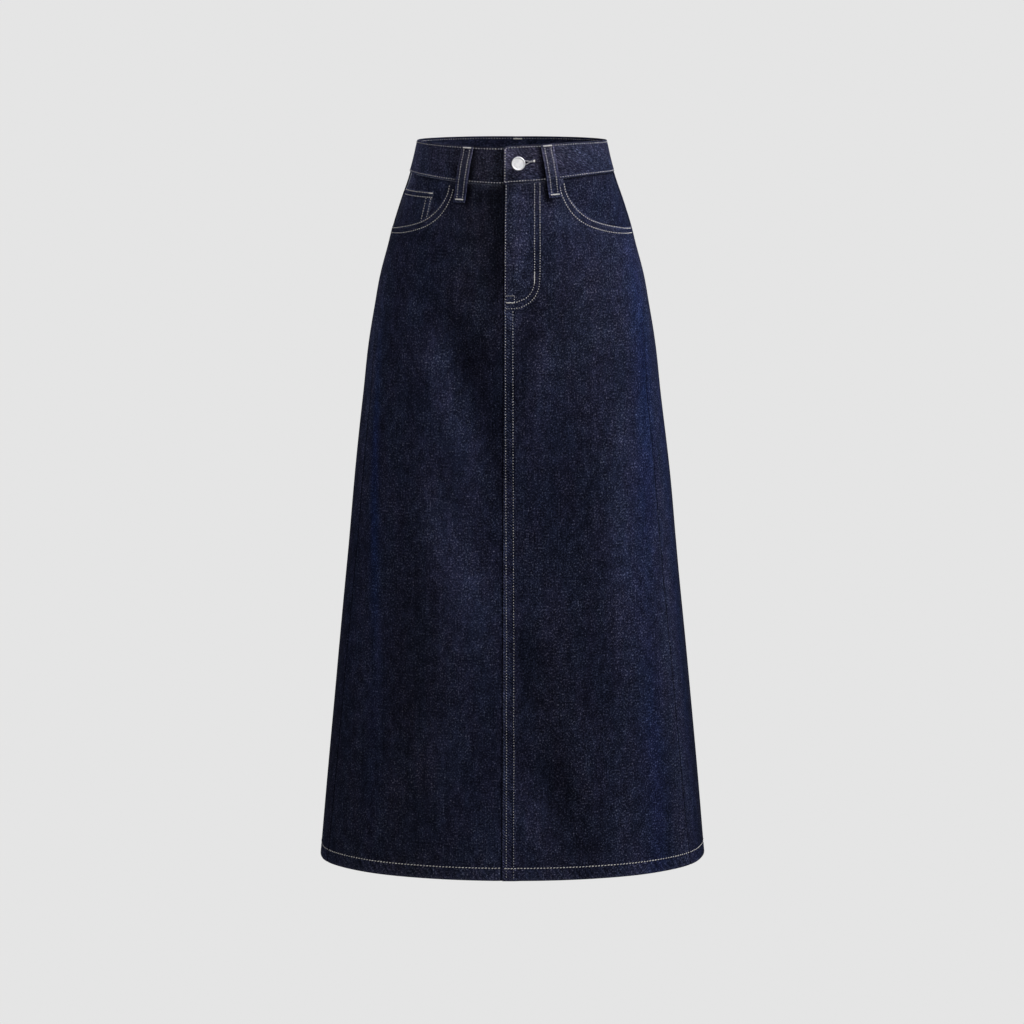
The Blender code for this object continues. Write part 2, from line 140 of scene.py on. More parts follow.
# Small creases, listed as the folds are
creases = [
    (-31, -12, 165, 205, 265, 13, -2.6),
    (-15, -2, 215, 290, 400, 16, -2.8),
    (-37, -20, 185, 250, 335, 14, 1.6),
    (-22, -9, 290, 345, 415, 14, 1.5),
    (-30, -17, 370, 440, 505, 15, 1.9),
    (-18, -4, 455, 520, 615, 14, 2.2),
    (-37, -29, 330, 500, 870, 26, -2.2),
    (-9, -2, 420, 490, 560, 10, -1.3),
    (-23, -14, 640, 680, 735, 13, 1.3),
    (-50, -12, 88, 112, 140, 30, -0.8),
    (-42, -5, 118, 142, 170, 30, -0.8),
    (13.5, 11.5, 95, 190, 250, 8, -1.5),
    (10, 5, 235, 300, 350, 10, -1.9),
    (14, 9, 215, 265, 320, 10, 1.4),
    (3.5, 12, 548, 588, 640, 11, -2.2),
    (5, 15, 640, 690, 735, 12, 1.4),
    (2.5, 26, 672, 735, 855, 13, -3.0),
    (3.5, 11, 715, 790, 870, 8, 1.7),
    (6, 11, 735, 775, 820, 7, -1.2),
    (4.5, 5.5, 40, 105, 165, 7, 0.8),
    (30, 22, 250, 330, 420, 16, -1.0),
    (38, 34, 430, 520, 640, 16, 1.0),
    (28, 33, 560, 650, 760, 18, -1.2),
    (46, 44, 240, 420, 640, 14, 1.2),
    (-104, -112, 190, 300, 470, 18, -1.6),
    (-124, -130, 330, 520, 700, 20, 1.8),
    (-140, -150, 430, 600, 860, 18, -1.8),
    (-158, -170, 150, 230, 340, 16, -1.8),
    (-165, -176, 520, 640, 780, 14, 1.6),
    (-174, -168, 640, 740, 860, 12, -1.8),
    (104, 114, 170, 290, 450, 18, -1.5),
    (126, 133, 360, 540, 720, 20, 1.7),
    (142, 151, 460, 640, 860, 18, -1.7),
    (157, 171, 140, 225, 330, 16, -1.7),
    (168, 176, 380, 470, 560, 12, -1.4),
    (174, 165, 600, 700, 850, 13, 1.6),
    (95, 97, 300, 420, 560, 12, 1.2),
    (-95, -98, 480, 620, 780, 12, 1.2),
]


# The waist isn't level: it climbs at the sides, most on the wearer's left, and that fades out by the hips
waist = {
    "turn": [-180, -125, -88, -60, -25, -1.2, 1.2, 22, 36, 56, 75, 92, 125, 180],
    "rise": [-1.4, 0, 1.5, 1.6, 0.3, -0.4, 0.8, 2.4, 3.5, 3.4, 2.4, 1.5, 0, -1.4],
    "from": 45,
    "to": 150,
}


def riseAt(turn, depth):
    fade = 1 - ease((depth - waist["from"]) / (waist["to"] - waist["from"]))
    return fade * between(waist, "rise", (turn + 180) % 360 - 180, "turn")


# The sum of a list of soft strokes, each running down the cloth
def strokes(table, turn, depth):
    total = np.zeros(np.broadcast(turn, depth).shape)
    for turnHigh, turnLow, start, peak, end, width, height in table:
        growing, fading = ease((depth - start) / (peak - start)), 1 - ease((depth - peak) / (end - peak))
        rise = np.where(depth < peak, growing, fading)
        drift = np.clip((depth - start) / (min(end, skirt["length"]) - start), 0, 1)
        middle = turnHigh + (turnLow - turnHigh) * drift
        away = (turn - middle + 180) % 360 - 180
        total = total + height * rise * np.exp(-((np.radians(away) * reachAt(middle, depth) / width) ** 2))
    return total


def foldHeight(turn, depth):
    return strokes(folds + creases, turn, depth)


def face(turn, depth):
    x, y = outline(turn, depth)
    out = foldHeight(turn, depth)
    slopeX = x / between(sections, "halfWidth", depth) ** 2
    slopeY = -y / between(sections, "front", depth) ** 2
    way = np.arctan2(slopeX, slopeY)
    height = riseAt(turn, depth) - depth
    return np.stack((x + out * np.sin(way), y - out * np.cos(way), height * np.ones_like(x)), axis=-1)


def outward(turn, depth):
    around = face(turn + 0.4, depth) - face(turn - 0.4, depth)
    down = face(turn, depth + 1.5) - face(turn, depth - 1.5)
    normal = np.cross(down, around)
    return normal / np.linalg.norm(normal, axis=-1, keepdims=True)


def lifted(turn, depth, lift):
    turn, depth = np.broadcast_arrays(np.asarray(turn, float), np.asarray(depth, float))
    return face(turn, depth) + outward(turn, depth) * np.asarray(lift, float)[..., None]


def sideTurn(depth, into=0.0):
    turn = between(sideSeam, "turn", depth)
    return turn - np.degrees(into / reachAt(turn, depth))


def even(first, last, step):
    return np.linspace(first, last, max(1, ceil((last - first) / step)) + 1)


edgeSteps = np.array([0, 0.08, 0.3, 0.62, 1])  # shares of the radius, from a rounded edge inwards


# Places across a strip of cloth, close together at its rounded edges
def strip(first, last, step, radius):
    near = radius * edgeSteps
    return np.concatenate((first + near[:-1], even(first + radius, last - radius, step), last - near[-2::-1]))


# How far a rounded edge draws a side of the cloth in towards its middle
def rounding(away, thick):
    radius = skirt["edgeRound"] * thick
    within = np.clip(radius - away, 0, radius)
    return radius - np.sqrt(radius**2 - within**2)


# Strokes of paler and darker cloth, listed as the folds are. One unit of height doubles the lightness.
# Much of this is painted light and shade: the shadow beside the lap, light on the wearer's right side, the
# shading of folds
paintedShadeAndTone = [
    (-2.6, -2.0, -140, 100, 215, 8, -1.2),
    (-5, -4, -100, 90, 230, 24, -0.5),
    (-9, -8, 25, 60, 110, 22, -0.4),
    (-4, -3, 250, 345, 470, 12, -0.75),
    (0.2, 0.1, -80, 40, 330, 2.6, 1.1),
    (-1.2, -1.2, -80, 0, 42, 1.6, 0.8),
    (1.5, 1.5, -60, 15, 45, 5, 0.9),
    (-1.6, -1.4, -40, 110, 345, 5, -0.7),
    (3.5, 3.5, -60, 15, 45, 7, 0.5),
    (4, 4, 42, 58, 85, 10, 0.7),
    (28, 28, 25, 52, 75, 8, -0.6),
    (5, 5, 165, 195, 228, 10, 0.6),
    (-3, -3, 100, 140, 175, 9, -0.4),
    (-8, -8, 100, 132, 165, 10, 0.35),
    (-8, -7, 35, 50, 80, 14, -0.35),
    (5, 5, 100, 130, 165, 9, 0.4),
    (11, 11, 110, 138, 165, 9, -0.4),
    (3, 3, 30, 120, 220, 14, 0.65),
    (4.5, 5.5, 30, 95, 175, 9, 0.45),
    (8, 8, 20, 90, 190, 30, 0.2),
    (14.5, 14.5, 38, 50, 75, 8, -0.65),
    (15, 14, 70, 110, 170, 14, -0.5),
    (12, 24, -60, 12, 60, 60, 0.6),
    (60, 60, -60, 10, 70, 60, 0.15),
    (-78, -78, -60, 20, 110, 32, 1.5),
    (-54, -52, -60, 20, 65, 34, 0.6),
    (-40, -40, 160, 190, 225, 14, 0.35),
    (-29, -20, 190, 235, 305, 15, 0.9),
    (-17, -17, 198, 225, 255, 12, 0.4),
    (-26, -24, 310, 380, 450, 18, 0.4),
    (-22, -12, 255, 300, 380, 16, 0.7),
    (-11, -9, 195, 235, 290, 14, -0.85),
    (-34, -33, 250, 290, 345, 14, -0.5),
    (-9, -8.5, 300, 365, 480, 11, 0.8),
    (-28, -12, 380, 440, 560, 22, 0.45),
    (-36, -30, 400, 500, 700, 30, 0.15),
    (-17, -6, 400, 510, 620, 26, 0.5),
    (-20, -12, 520, 590, 690, 60, 0.4),
    (-30, -30, 300, 620, 1100, 34, -0.10),
    (9.5, 7.5, 130, 215, 275, 5.5, -0.8),
    (14, 11, 190, 270, 370, 10, 0.75),
    (26, 26, -60, 100, 420, 70, 0.25),
    (5, 5, 245, 285, 335, 12, -0.35),
    (26, 27, 330, 400, 560, 24, -0.35),
    (41, 39, 300, 430, 700, 15, 0.45),
    (62, 56, 380, 560, 1100, 40, 0.25),
    (4.5, 9, 555, 592, 640, 12, -0.40),
    (5, 27, 575, 660, 860, 14, -0.75),
    (8.5, 11, 655, 715, 880, 10, 0.75),
    (12, 12, 480, 540, 640, 12, 0.3),
    (34, 30, 600, 760, 1200, 60, 0.18),
    (70, 70, 200, 500, 2400, 30, 0.65),
    (47, 46, 290, 345, 420, 14, 0.35),
    (-20, -18, 640, 700, 820, 26, 0.5),
    (-72, -68, 85, 200, 560, 28, 1.2),
    (0, 0, 740, 815, 1200, 24, 0.4),
    (26, 26, 790, 840, 1300, 18, -0.5),
    (38, 38, 800, 850, 1000, 30, 0.35),
    (-168, -171, 150, 250, 380, 24, 0.4),
    (166, 171, 170, 290, 430, 22, -0.5),
    (-150, -159, 330, 450, 620, 32, 0.4),
    (150, 158, 400, 540, 720, 38, 0.35),
    (174, 165, 540, 650, 830, 16, -0.6),
    (-173, -164, 610, 720, 870, 16, 0.45),
    (-140, -147, 540, 700, 1000, 36, -0.4),
    (141, 147, 230, 350, 520, 34, 0.35),
    (-132, -126, 160, 260, 420, 30, -0.35),
]
paintedLoopShadows = [  # painted shadows beside the front belt loops, which don't fall on the loops themselves
    (-18.8, -20.8, -90, 58, 76, 3.0, -2.9),
    (18.4, 22.3, -90, 58, 76, 3.4, -2.9),
    (-30.5, -30.5, -20, 52, 78, 4, -0.8),
]
paintedSheenAndTints = [  # of bluer cloth, painted sheen near the sides, or of browner cloth where the height is negative, partly the tint of painted shade beside the lap
    (-66, -41, 160, 400, 700, 9, 0.95),
    (-46, -43, 560, 720, 1000, 16, 0.35),
    (80, 44, 0, 240, 700, 27, 0.75),
    (-72, -60, 300, 600, 1200, 40, 0.1),
    (53, 51, 520, 720, 1300, 18, 0.5),
    (25, 25, 100, 190, 330, 40, -0.3),
    (-58, -50, 600, 800, 1500, 70, -0.4),
    (84, 78, 180, 360, 1400, 24, 0.5),
    (-127, -128, 100, 400, 1000, 26, 0.3),
    (129, 130, 100, 400, 1000, 26, 0.3),
    (-11, -9, -80, 60, 330, 28, -0.7),
    (0, 0, -80, 10, 60, 150, -0.7),
    (22, 22, -80, 10, 90, 25, -0.4),
    (-20, -20, 820, 866, 1000, 80, -0.4),
    (-32, -28, 330, 620, 1100, 34, -0.4),
    (14, 20, 400, 700, 1100, 26, -0.3),
]
grains = [  # of coarser cloth
    (6, 6, -80, 100, 240, 24, 0.25),
    (-20, -14, 380, 480, 600, 50, 0.15),
]
seamDrift = {"depth": [0, 200, 560, 866], "x": [0, 0, 2.2, 3.2]}  # the seam wanders a little, going down
pull = {  # where the sewing draws the cloth together, in the lapped seams at the middle and along the hem
    "from": -2.5,
    "rise": 1.5,
    "wideTo": 9.5,  # where the seam has two rows of stitches, as below the fly
    "wideFall": 4,
    "narrowTo": 1,
    "narrowFall": 3,
    "narrowShare": 0.8,
    "belowFly": 186,
    "flyRise": 4,
    "hemFrom": 849,
    "hemRise": 3,
    "hemTo": 862,
    "hemFall": 4,
}


def seamPull(turn, depth):
    x = outline(turn, depth)[0]
    start = ease((x - pull["from"]) / pull["rise"])
    belowFly = np.where(np.cos(np.radians(turn)) > 0, ease((depth - pull["belowFly"]) / pull["flyRise"]), 1)
    wide = start * (1 - ease((x - pull["wideTo"] - between(seamDrift, "x", depth)) / pull["wideFall"]))
    narrow = start * (1 - ease((x - pull["narrowTo"]) / pull["narrowFall"]))
    return np.maximum(wide * belowFly, pull["narrowShare"] * narrow)


def hemPull(depth):
    start = ease((depth - pull["hemFrom"]) / pull["hemRise"])
    return start * (1 - ease((depth - pull["hemTo"]) / pull["hemFall"]))


print("surface ready")


# Shader groups
def newGroup(name, inputs, outputs):
    tree = bpy.data.node_groups.new(name, "ShaderNodeTree")
    for label, kind, value in inputs:
        socket = tree.interface.new_socket(name=label, in_out="INPUT", socket_type="NodeSocket" + kind)
        if value is not None:
            socket.default_value = value
    for label, kind in outputs:
        tree.interface.new_socket(name=label, in_out="OUTPUT", socket_type="NodeSocket" + kind)
    return tree, tree.nodes.new("NodeGroupInput"), tree.nodes.new("NodeGroupOutput")


def feed(tree, socket, value):
    if isinstance(value, bpy.types.NodeSocket):
        tree.links.new(value, socket)
    elif value is not None:
        socket.default_value = value


def calc(tree, operation, *values):
    node = tree.nodes.new("ShaderNodeMath")
    node.operation = operation
    for socket, value in zip(node.inputs, values):
        feed(tree, socket, value)
    return node.outputs[0]


def stretch(tree, vector, sizes):
    node = tree.nodes.new("ShaderNodeVectorMath")
    node.operation = "MULTIPLY"
    feed(tree, node.inputs[0], vector)
    node.inputs[1].default_value = [1 / size for size in sizes]
    return node.outputs[0]


def noise(tree, vector, sizes, detail=2.0, roughness=0.55):
    node = tree.nodes.new("ShaderNodeTexNoise")
    node.inputs["Scale"].default_value = 1
    node.inputs["Detail"].default_value = detail
    node.inputs["Roughness"].default_value = roughness
    feed(tree, node.inputs["Vector"], stretch(tree, vector, sizes))
    return node.outputs[0]


def ramp(tree, value, low, high, first=0.0, last=1.0):
    node = tree.nodes.new("ShaderNodeMapRange")
    node.interpolation_type = "SMOOTHSTEP"
    for socket, number in zip(node.inputs, (value, low, high, first, last)):
        feed(tree, socket, number)
    return node.outputs[0]


# The round profile of threads that lie side by side
def threadProfile(tree, way, size):
    return calc(tree, "ABSOLUTE", calc(tree, "SINE", calc(tree, "DIVIDE", way, size / np.pi)))


def mixColour(tree, share, first, second, blend="MIX"):
    node = tree.nodes.new("ShaderNodeMix")
    node.data_type = "RGBA"
    node.blend_type = blend
    feed(tree, node.inputs[0], share)
    feed(tree, node.inputs[6], first)
    feed(tree, node.inputs[7], second)
    return node.outputs[2]


# The weave's sizes are in metres, its ramps are pairs, and its other values are shares
weave = {
    "lineAcross": 0.0019,
    "lineAlong": 0.0027,
    "lineShade": 0.9,
    "warpThread": 0.00048,
    "weftThread": 0.00068,
    "wobbleSize": (0.004, 0.006, 1),
    "wobble": 0.9,
    "slubSize": (0.0011, 0.0150, 1),
    "slubRamp": (0.32, 0.70),
    "streakSize": (0.0040, 0.1800, 1),
    "streakRamp": (0.34, 0.66),
    "streakBias": 0.02,
    "patchSize": (0.045, 0.070, 1),
    "patchRamp": (0.36, 0.64),
    "patchBias": 0.04,
    "fleckSize": (0.0018, 0.0021, 1),
    "weftRamp": (0.52, 0.80),
    "weftShare": 0.6,
    "slubTone": 0.45,
    "lineTone": 0.25,
    "streakTone": 0.12,
    "crossing": 6.9,  # how much one thread crossing differs from the next
    "lineHeight": 0.55,
    "threadHeight": 0.18,
    "slubHeight": 0.25,
    "roughness": 0.88,
    "weftSmoother": 0.12,
}


# Denim: indigo warp over pale weft, in lines that slant by the sign of Slant. Place is in metres of cloth.
def makeWeave():
    tree, given, made = newGroup(
        "denimWeave",
        [
            ("Place", "Vector", None),
            ("Slant", "Float", 1.0),
            ("Lines", "Float", 0.4),
            ("Grain", "Float", 1.0),
            ("Warp", "Color", (0.0080, 0.0095, 0.0224, 1)),
            ("Warp pale", "Color", (0.0212, 0.0254, 0.0545, 1)),
            ("Weft", "Color", (0.092, 0.096, 0.124, 1)),
            ("Wear", "Float", 0.0),
        ],
        [("Colour", "Color"), ("Height", "Float"), ("Roughness", "Float")],
    )
    place, slant = given.outputs["Place"], given.outputs["Slant"]
    split = tree.nodes.new("ShaderNodeSeparateXYZ")
    tree.links.new(place, split.inputs[0])
    across, along = split.outputs[0], split.outputs[1]
    slanted = calc(tree, "MULTIPLY", calc(tree, "DIVIDE", along, weave["lineAlong"]), slant)
    phase = calc(tree, "SUBTRACT", calc(tree, "DIVIDE", across, weave["lineAcross"]), slanted)
    wobble = calc(tree, "MULTIPLY", noise(tree, place, weave["wobbleSize"]), weave["wobble"])
    wave = calc(tree, "SINE", calc(tree, "MULTIPLY", calc(tree, "ADD", phase, wobble), 2 * np.pi))
    line = calc(tree, "MULTIPLY_ADD", wave, 0.5, 0.5)
    warpThread = threadProfile(tree, across, weave["warpThread"])
    weftThread = threadProfile(tree, along, weave["weftThread"])

    slub = ramp(tree, noise(tree, place, weave["slubSize"]), *weave["slubRamp"])
    streak = ramp(tree, noise(tree, place, weave["streakSize"], 3), *weave["streakRamp"])
    patch = ramp(tree, noise(tree, place, weave["patchSize"], 3), *weave["patchRamp"])
    grain = noise(tree, place, weave["fleckSize"], 3, 0.6)
    bias = calc(tree, "MULTIPLY", calc(tree, "SUBTRACT", patch, 0.5), weave["patchBias"])
    streakBias = calc(tree, "MULTIPLY", calc(tree, "SUBTRACT", streak, 0.5), weave["streakBias"])
    bias = calc(tree, "ADD", bias, streakBias)
    weftShow = ramp(tree, calc(tree, "ADD", grain, bias), *weave["weftRamp"])
    hollow = calc(tree, "SUBTRACT", 1.0, calc(tree, "MULTIPLY", line, given.outputs["Lines"]))
    weftShow = calc(tree, "MULTIPLY", weftShow, hollow)
    warpTone = calc(tree, "MULTIPLY", line, weave["lineTone"])
    warpTone = calc(tree, "MULTIPLY_ADD", slub, weave["slubTone"], warpTone)
    warpTone = calc(tree, "ADD", warpTone, calc(tree, "MULTIPLY", streak, weave["streakTone"]))
    warpTone = calc(tree, "ADD", warpTone, given.outputs["Wear"])
    warpTone.node.use_clamp = True
    indigo = mixColour(tree, warpTone, given.outputs["Warp"], given.outputs["Warp pale"])
    weftShare = calc(tree, "MULTIPLY", weftShow, weave["weftShare"])
    colour = mixColour(tree, weftShare, indigo, given.outputs["Weft"])
    # every thread crossing is a little paler or darker than the next, and the twill line shades it
    crossing = calc(tree, "MULTIPLY", calc(tree, "SUBTRACT", grain, 0.5), weave["crossing"])
    crossing = calc(tree, "MULTIPLY", crossing, given.outputs["Grain"])
    lined = calc(tree, "MULTIPLY", calc(tree, "SUBTRACT", line, 0.5), given.outputs["Lines"])
    grained = tree.nodes.new("ShaderNodeVectorMath")
    grained.operation = "SCALE"
    tree.links.new(colour, grained.inputs[0])
    doublings = calc(tree, "MULTIPLY_ADD", lined, weave["lineShade"], crossing)
    tree.links.new(calc(tree, "POWER", 2.0, doublings), grained.inputs["Scale"])
    tree.links.new(grained.outputs[0], made.inputs["Colour"])
    threads = calc(tree, "MULTIPLY", calc(tree, "ADD", warpThread, weftThread), weave["threadHeight"])
    height = calc(tree, "ADD", calc(tree, "MULTIPLY", line, weave["lineHeight"]), threads)
    height = calc(tree, "ADD", height, calc(tree, "MULTIPLY", slub, weave["slubHeight"]))
    tree.links.new(height, made.inputs["Height"])
    roughness = calc(tree, "MULTIPLY_ADD", weftShow, -weave["weftSmoother"], weave["roughness"])
    tree.links.new(roughness, made.inputs["Roughness"])
    return tree


puckerLook = {
    "lean": 0.7,
    "wanderSize": (0.02, 1, 1),
    "wander": 6.0,
    "patchSize": (0.013, 1, 1),
    "patchRamp": (0.35, 0.65, 0.25, 1.2),
}


# Puckers that a tight seam draws in the cloth, where Pull says. Along and Away are metres along and across.
def makePucker():
    tree, given, made = newGroup(
        "seamPucker",
        [(name, "Float", 0.0) for name in ("Along", "Away", "Pull")] + [("Pitch", "Float", 0.007)],
        [("Height", "Float")],
    )
    along, away = given.outputs["Along"], given.outputs["Away"]
    leaning = calc(tree, "MULTIPLY_ADD", away, puckerLook["lean"], along)
    merged = tree.nodes.new("ShaderNodeCombineXYZ")
    tree.links.new(along, merged.inputs[0])
    wander = noise(tree, merged.outputs[0], puckerLook["wanderSize"])
    wander = calc(tree, "MULTIPLY", wander, puckerLook["wander"])
    turns = calc(tree, "MULTIPLY", calc(tree, "DIVIDE", leaning, given.outputs["Pitch"]), 2 * np.pi)
    wave = calc(tree, "SINE", calc(tree, "ADD", turns, wander))
    patch = ramp(tree, noise(tree, merged.outputs[0], puckerLook["patchSize"]), *puckerLook["patchRamp"])
    wave = calc(tree, "MULTIPLY", wave, patch)
    tree.links.new(calc(tree, "MULTIPLY", wave, given.outputs["Pull"]), made.inputs["Height"])
    return tree


def newMaterial(name, finish):
    material = bpy.data.materials.new(name)
    material.use_nodes = True
    tree = material.node_tree
    shader = tree.nodes["Principled BSDF"]
    for label, value in finish.items():
        shader.inputs[label].default_value = value
    return material, tree, shader


def placeGroup(tree, group, values):
    node = tree.nodes.new("ShaderNodeGroup")
    node.node_tree = group
    for name, value in values.items():
        feed(tree, node.inputs[name], value)
    return node


def bump(tree, shader, height, distance, strength=1.0):
    node = tree.nodes.new("ShaderNodeBump")
    node.inputs["Strength"].default_value = strength
    node.inputs["Distance"].default_value = distance
    tree.links.new(height, node.inputs["Height"])
    tree.links.new(node.outputs[0], shader.inputs["Normal"])


white = (1, 1, 1, 1)
dyeAndPaintedSheen = {
    "mottleSize": (0.010, 0.016, 1),
    "mottle": 3.0,
    "cloudSize": (0.045, 0.090, 1),
    "cloud": 0.7,
    "dyeSize": (0.026, 0.085, 1),
    "dyeRamp": (0.38, 0.62),
    "redder": (1.03, 0.965, 1.00, 1),
    "greener": (0.94, 1.00, 1.02, 1),
    # the tints that the blue strokes give: bluer as painted sheen, browner partly as the tint of painted
    # shade
    "bluer": (0.82, 1.15, 1.80, 1),
    "browner": (1.14, 1.00, 0.78, 1),
}


# Denim's slow changes: Shade doubles or halves its lightness, as painted light and shade and as tone, Blue
# makes it bluer, as painted sheen, or browner where it is negative, and the dye varies by itself
def makeToneAndShade():
    tree, given, made = newGroup(
        "denimToneAndShade",
        [
            ("Place", "Vector", None),
            ("Colour", "Color", (0, 0, 0, 1)),
            ("Shade", "Float", 0.0),
            ("Blue", "Float", 0.0),
        ],
        [("Colour", "Color")],
    )
    place, blue = given.outputs["Place"], given.outputs["Blue"]
    mottle = calc(tree, "SUBTRACT", noise(tree, place, dyeAndPaintedSheen["mottleSize"], 3), 0.5)
    cloud = calc(tree, "SUBTRACT", noise(tree, place, dyeAndPaintedSheen["cloudSize"], 2), 0.5)
    shade = calc(tree, "MULTIPLY_ADD", mottle, dyeAndPaintedSheen["mottle"], given.outputs["Shade"])
    shade = calc(tree, "MULTIPLY_ADD", cloud, dyeAndPaintedSheen["cloud"], shade)
    scaled = tree.nodes.new("ShaderNodeVectorMath")
    scaled.operation = "SCALE"
    tree.links.new(given.outputs["Colour"], scaled.inputs[0])
    tree.links.new(calc(tree, "POWER", 2.0, shade), scaled.inputs["Scale"])
    dye = ramp(tree, noise(tree, place, dyeAndPaintedSheen["dyeSize"], 3), *dyeAndPaintedSheen["dyeRamp"])
    tint = mixColour(tree, dye, dyeAndPaintedSheen["redder"], dyeAndPaintedSheen["greener"])
    dyed = mixColour(tree, 1.0, scaled.outputs[0], tint, "MULTIPLY")
    bluer = mixColour(tree, blue, white, dyeAndPaintedSheen["bluer"])
    browner = mixColour(tree, calc(tree, "MULTIPLY", blue, -1.0), white, dyeAndPaintedSheen["browner"])
    dyed = mixColour(tree, 1.0, dyed, bluer, "MULTIPLY")
    tree.links.new(mixColour(tree, 1.0, dyed, browner, "MULTIPLY"), made.inputs["Colour"])
    return tree


denimLook = {
    "ropeSize": 0.0036,
    "ropeWanderSize": (0.006, 0.006, 1),
    "ropeWander": 9.0,
    "ropeRamp": (0.35, 0.95),
    "hemPitch": 0.0084,
    "seamPitch": 0.0033,
    "slowPitch": 0.034,
    "hemShare": 0.4,
    "seamShare": 0.7,
    "puckerShade": 1.1,
    "slowShade": 0.35,
    "seamPaler": 0.40,
    "hemPaler": 0.35,
    "edgePaler": 0.55,
    "wornShare": 0.45,
    "wornColour": (0.085, 0.088, 0.120, 1),
    "puckerHeight": 1.8,
    "relief": 0.0003,
    "finish": {
        "Specular IOR Level": 0.025,
        "Sheen Weight": 0.012,
        "Sheen Roughness": 0.45,
        "Sheen Tint": (0.22, 0.28, 0.80, 1),
    },
}


# coarser multiplies the grain of the whole cloth
def denimMaterial(name, values, coarser=1.0):
    material, tree, shader = newMaterial(name, denimLook["finish"])
    place = tree.nodes.new("ShaderNodeUVMap")
    place.uv_map = "cloth"
    place = place.outputs[0]
    painted = {}
    for tone in ("edgeWearAndHighlight", "shade", "blue", "grain", "seamPull", "hemPull"):
        painted[tone] = tree.nodes.new("ShaderNodeAttribute")
        painted[tone].attribute_name = tone
        painted[tone] = painted[tone].outputs["Fac"]
    split = tree.nodes.new("ShaderNodeSeparateXYZ")
    tree.links.new(place, split.inputs[0])
    across, along = split.outputs[0], split.outputs[1]
    # The cloth ropes over a turned edge, and wears on the ridges
    rope = calc(tree, "DIVIDE", calc(tree, "ADD", across, along), denimLook["ropeSize"] / (2 * np.pi))
    wander = calc(tree, "MULTIPLY", noise(tree, place, denimLook["ropeWanderSize"]), denimLook["ropeWander"])
    rope = calc(tree, "MULTIPLY_ADD", calc(tree, "SINE", calc(tree, "ADD", rope, wander)), 0.5, 0.5)
    worn = calc(tree, "MULTIPLY", painted["edgeWearAndHighlight"], ramp(tree, rope, *denimLook["ropeRamp"]))
    grain = calc(tree, "MULTIPLY", painted["grain"], coarser)
    woven = placeGroup(tree, weaveGroup, {"Place": place, "Wear": worn, "Grain": grain, **values})

    def pucker(alongSeam, awayFromSeam, pull, pitch):
        values = {"Along": alongSeam, "Away": awayFromSeam, "Pull": painted[pull], "Pitch": denimLook[pitch]}
        return placeGroup(tree, puckerGroup, values).outputs["Height"]

    hem = pucker(across, along, "hemPull", "hemPitch")
    seam = pucker(along, across, "seamPull", "seamPitch")
    slow = pucker(along, across, "seamPull", "slowPitch")
    drawn = calc(tree, "MULTIPLY", seam, denimLook["seamShare"])
    drawn = calc(tree, "MULTIPLY_ADD", hem, denimLook["hemShare"], drawn)
    # The puckers are painted paler on their ridges and darker in their hollows: partly wear, partly painted
    # shade
    shade = calc(tree, "MULTIPLY_ADD", drawn, denimLook["puckerShade"], painted["shade"])
    shade = calc(tree, "MULTIPLY_ADD", slow, denimLook["slowShade"], shade)
    shade = calc(tree, "MULTIPLY_ADD", painted["seamPull"], denimLook["seamPaler"], shade)
    shade = calc(tree, "MULTIPLY_ADD", painted["hemPull"], denimLook["hemPaler"], shade)
    # Edges are paler, partly as wear and partly as a painted highlight where light catches them
    shade = calc(tree, "MULTIPLY_ADD", painted["edgeWearAndHighlight"], denimLook["edgePaler"], shade)
    toneAndShadeInputs = {"Place": place, "Colour": woven.outputs["Colour"], "Shade": shade, "Blue": painted["blue"]}
    colour = placeGroup(tree, toneAndShadeGroup, toneAndShadeInputs).outputs["Colour"]
    wornShare = calc(tree, "MULTIPLY", worn, denimLook["wornShare"])
    colour = mixColour(tree, wornShare, colour, denimLook["wornColour"])
    tree.links.new(colour, shader.inputs["Base Color"])
    tree.links.new(woven.outputs["Roughness"], shader.inputs["Roughness"])
    height = calc(tree, "MULTIPLY_ADD", drawn, denimLook["puckerHeight"], woven.outputs["Height"])
    height = calc(tree, "ADD", height, calc(tree, "MULTIPLY", painted["edgeWearAndHighlight"], rope))
    bump(tree, shader, height, denimLook["relief"])
    return material


threadLook = {
    "dull": (0.25, 0.25, 0.31, 1),
    "dullHollow": (0.12, 0.12, 0.155, 1),
    "bright": (0.96, 0.93, 0.90, 1),
    "brightHollow": (0.62, 0.585, 0.56, 1),
    "plies": (3.0, 3.5),  # turns of the twist around and along a stitch
    "plyRamp": (0.05, 0.55),
    "roughness": (0.8, 0.55),
    "relief": 0.00012,
    "finish": {"Specular IOR Level": 0.3, "Sheen Weight": 0.15},
}


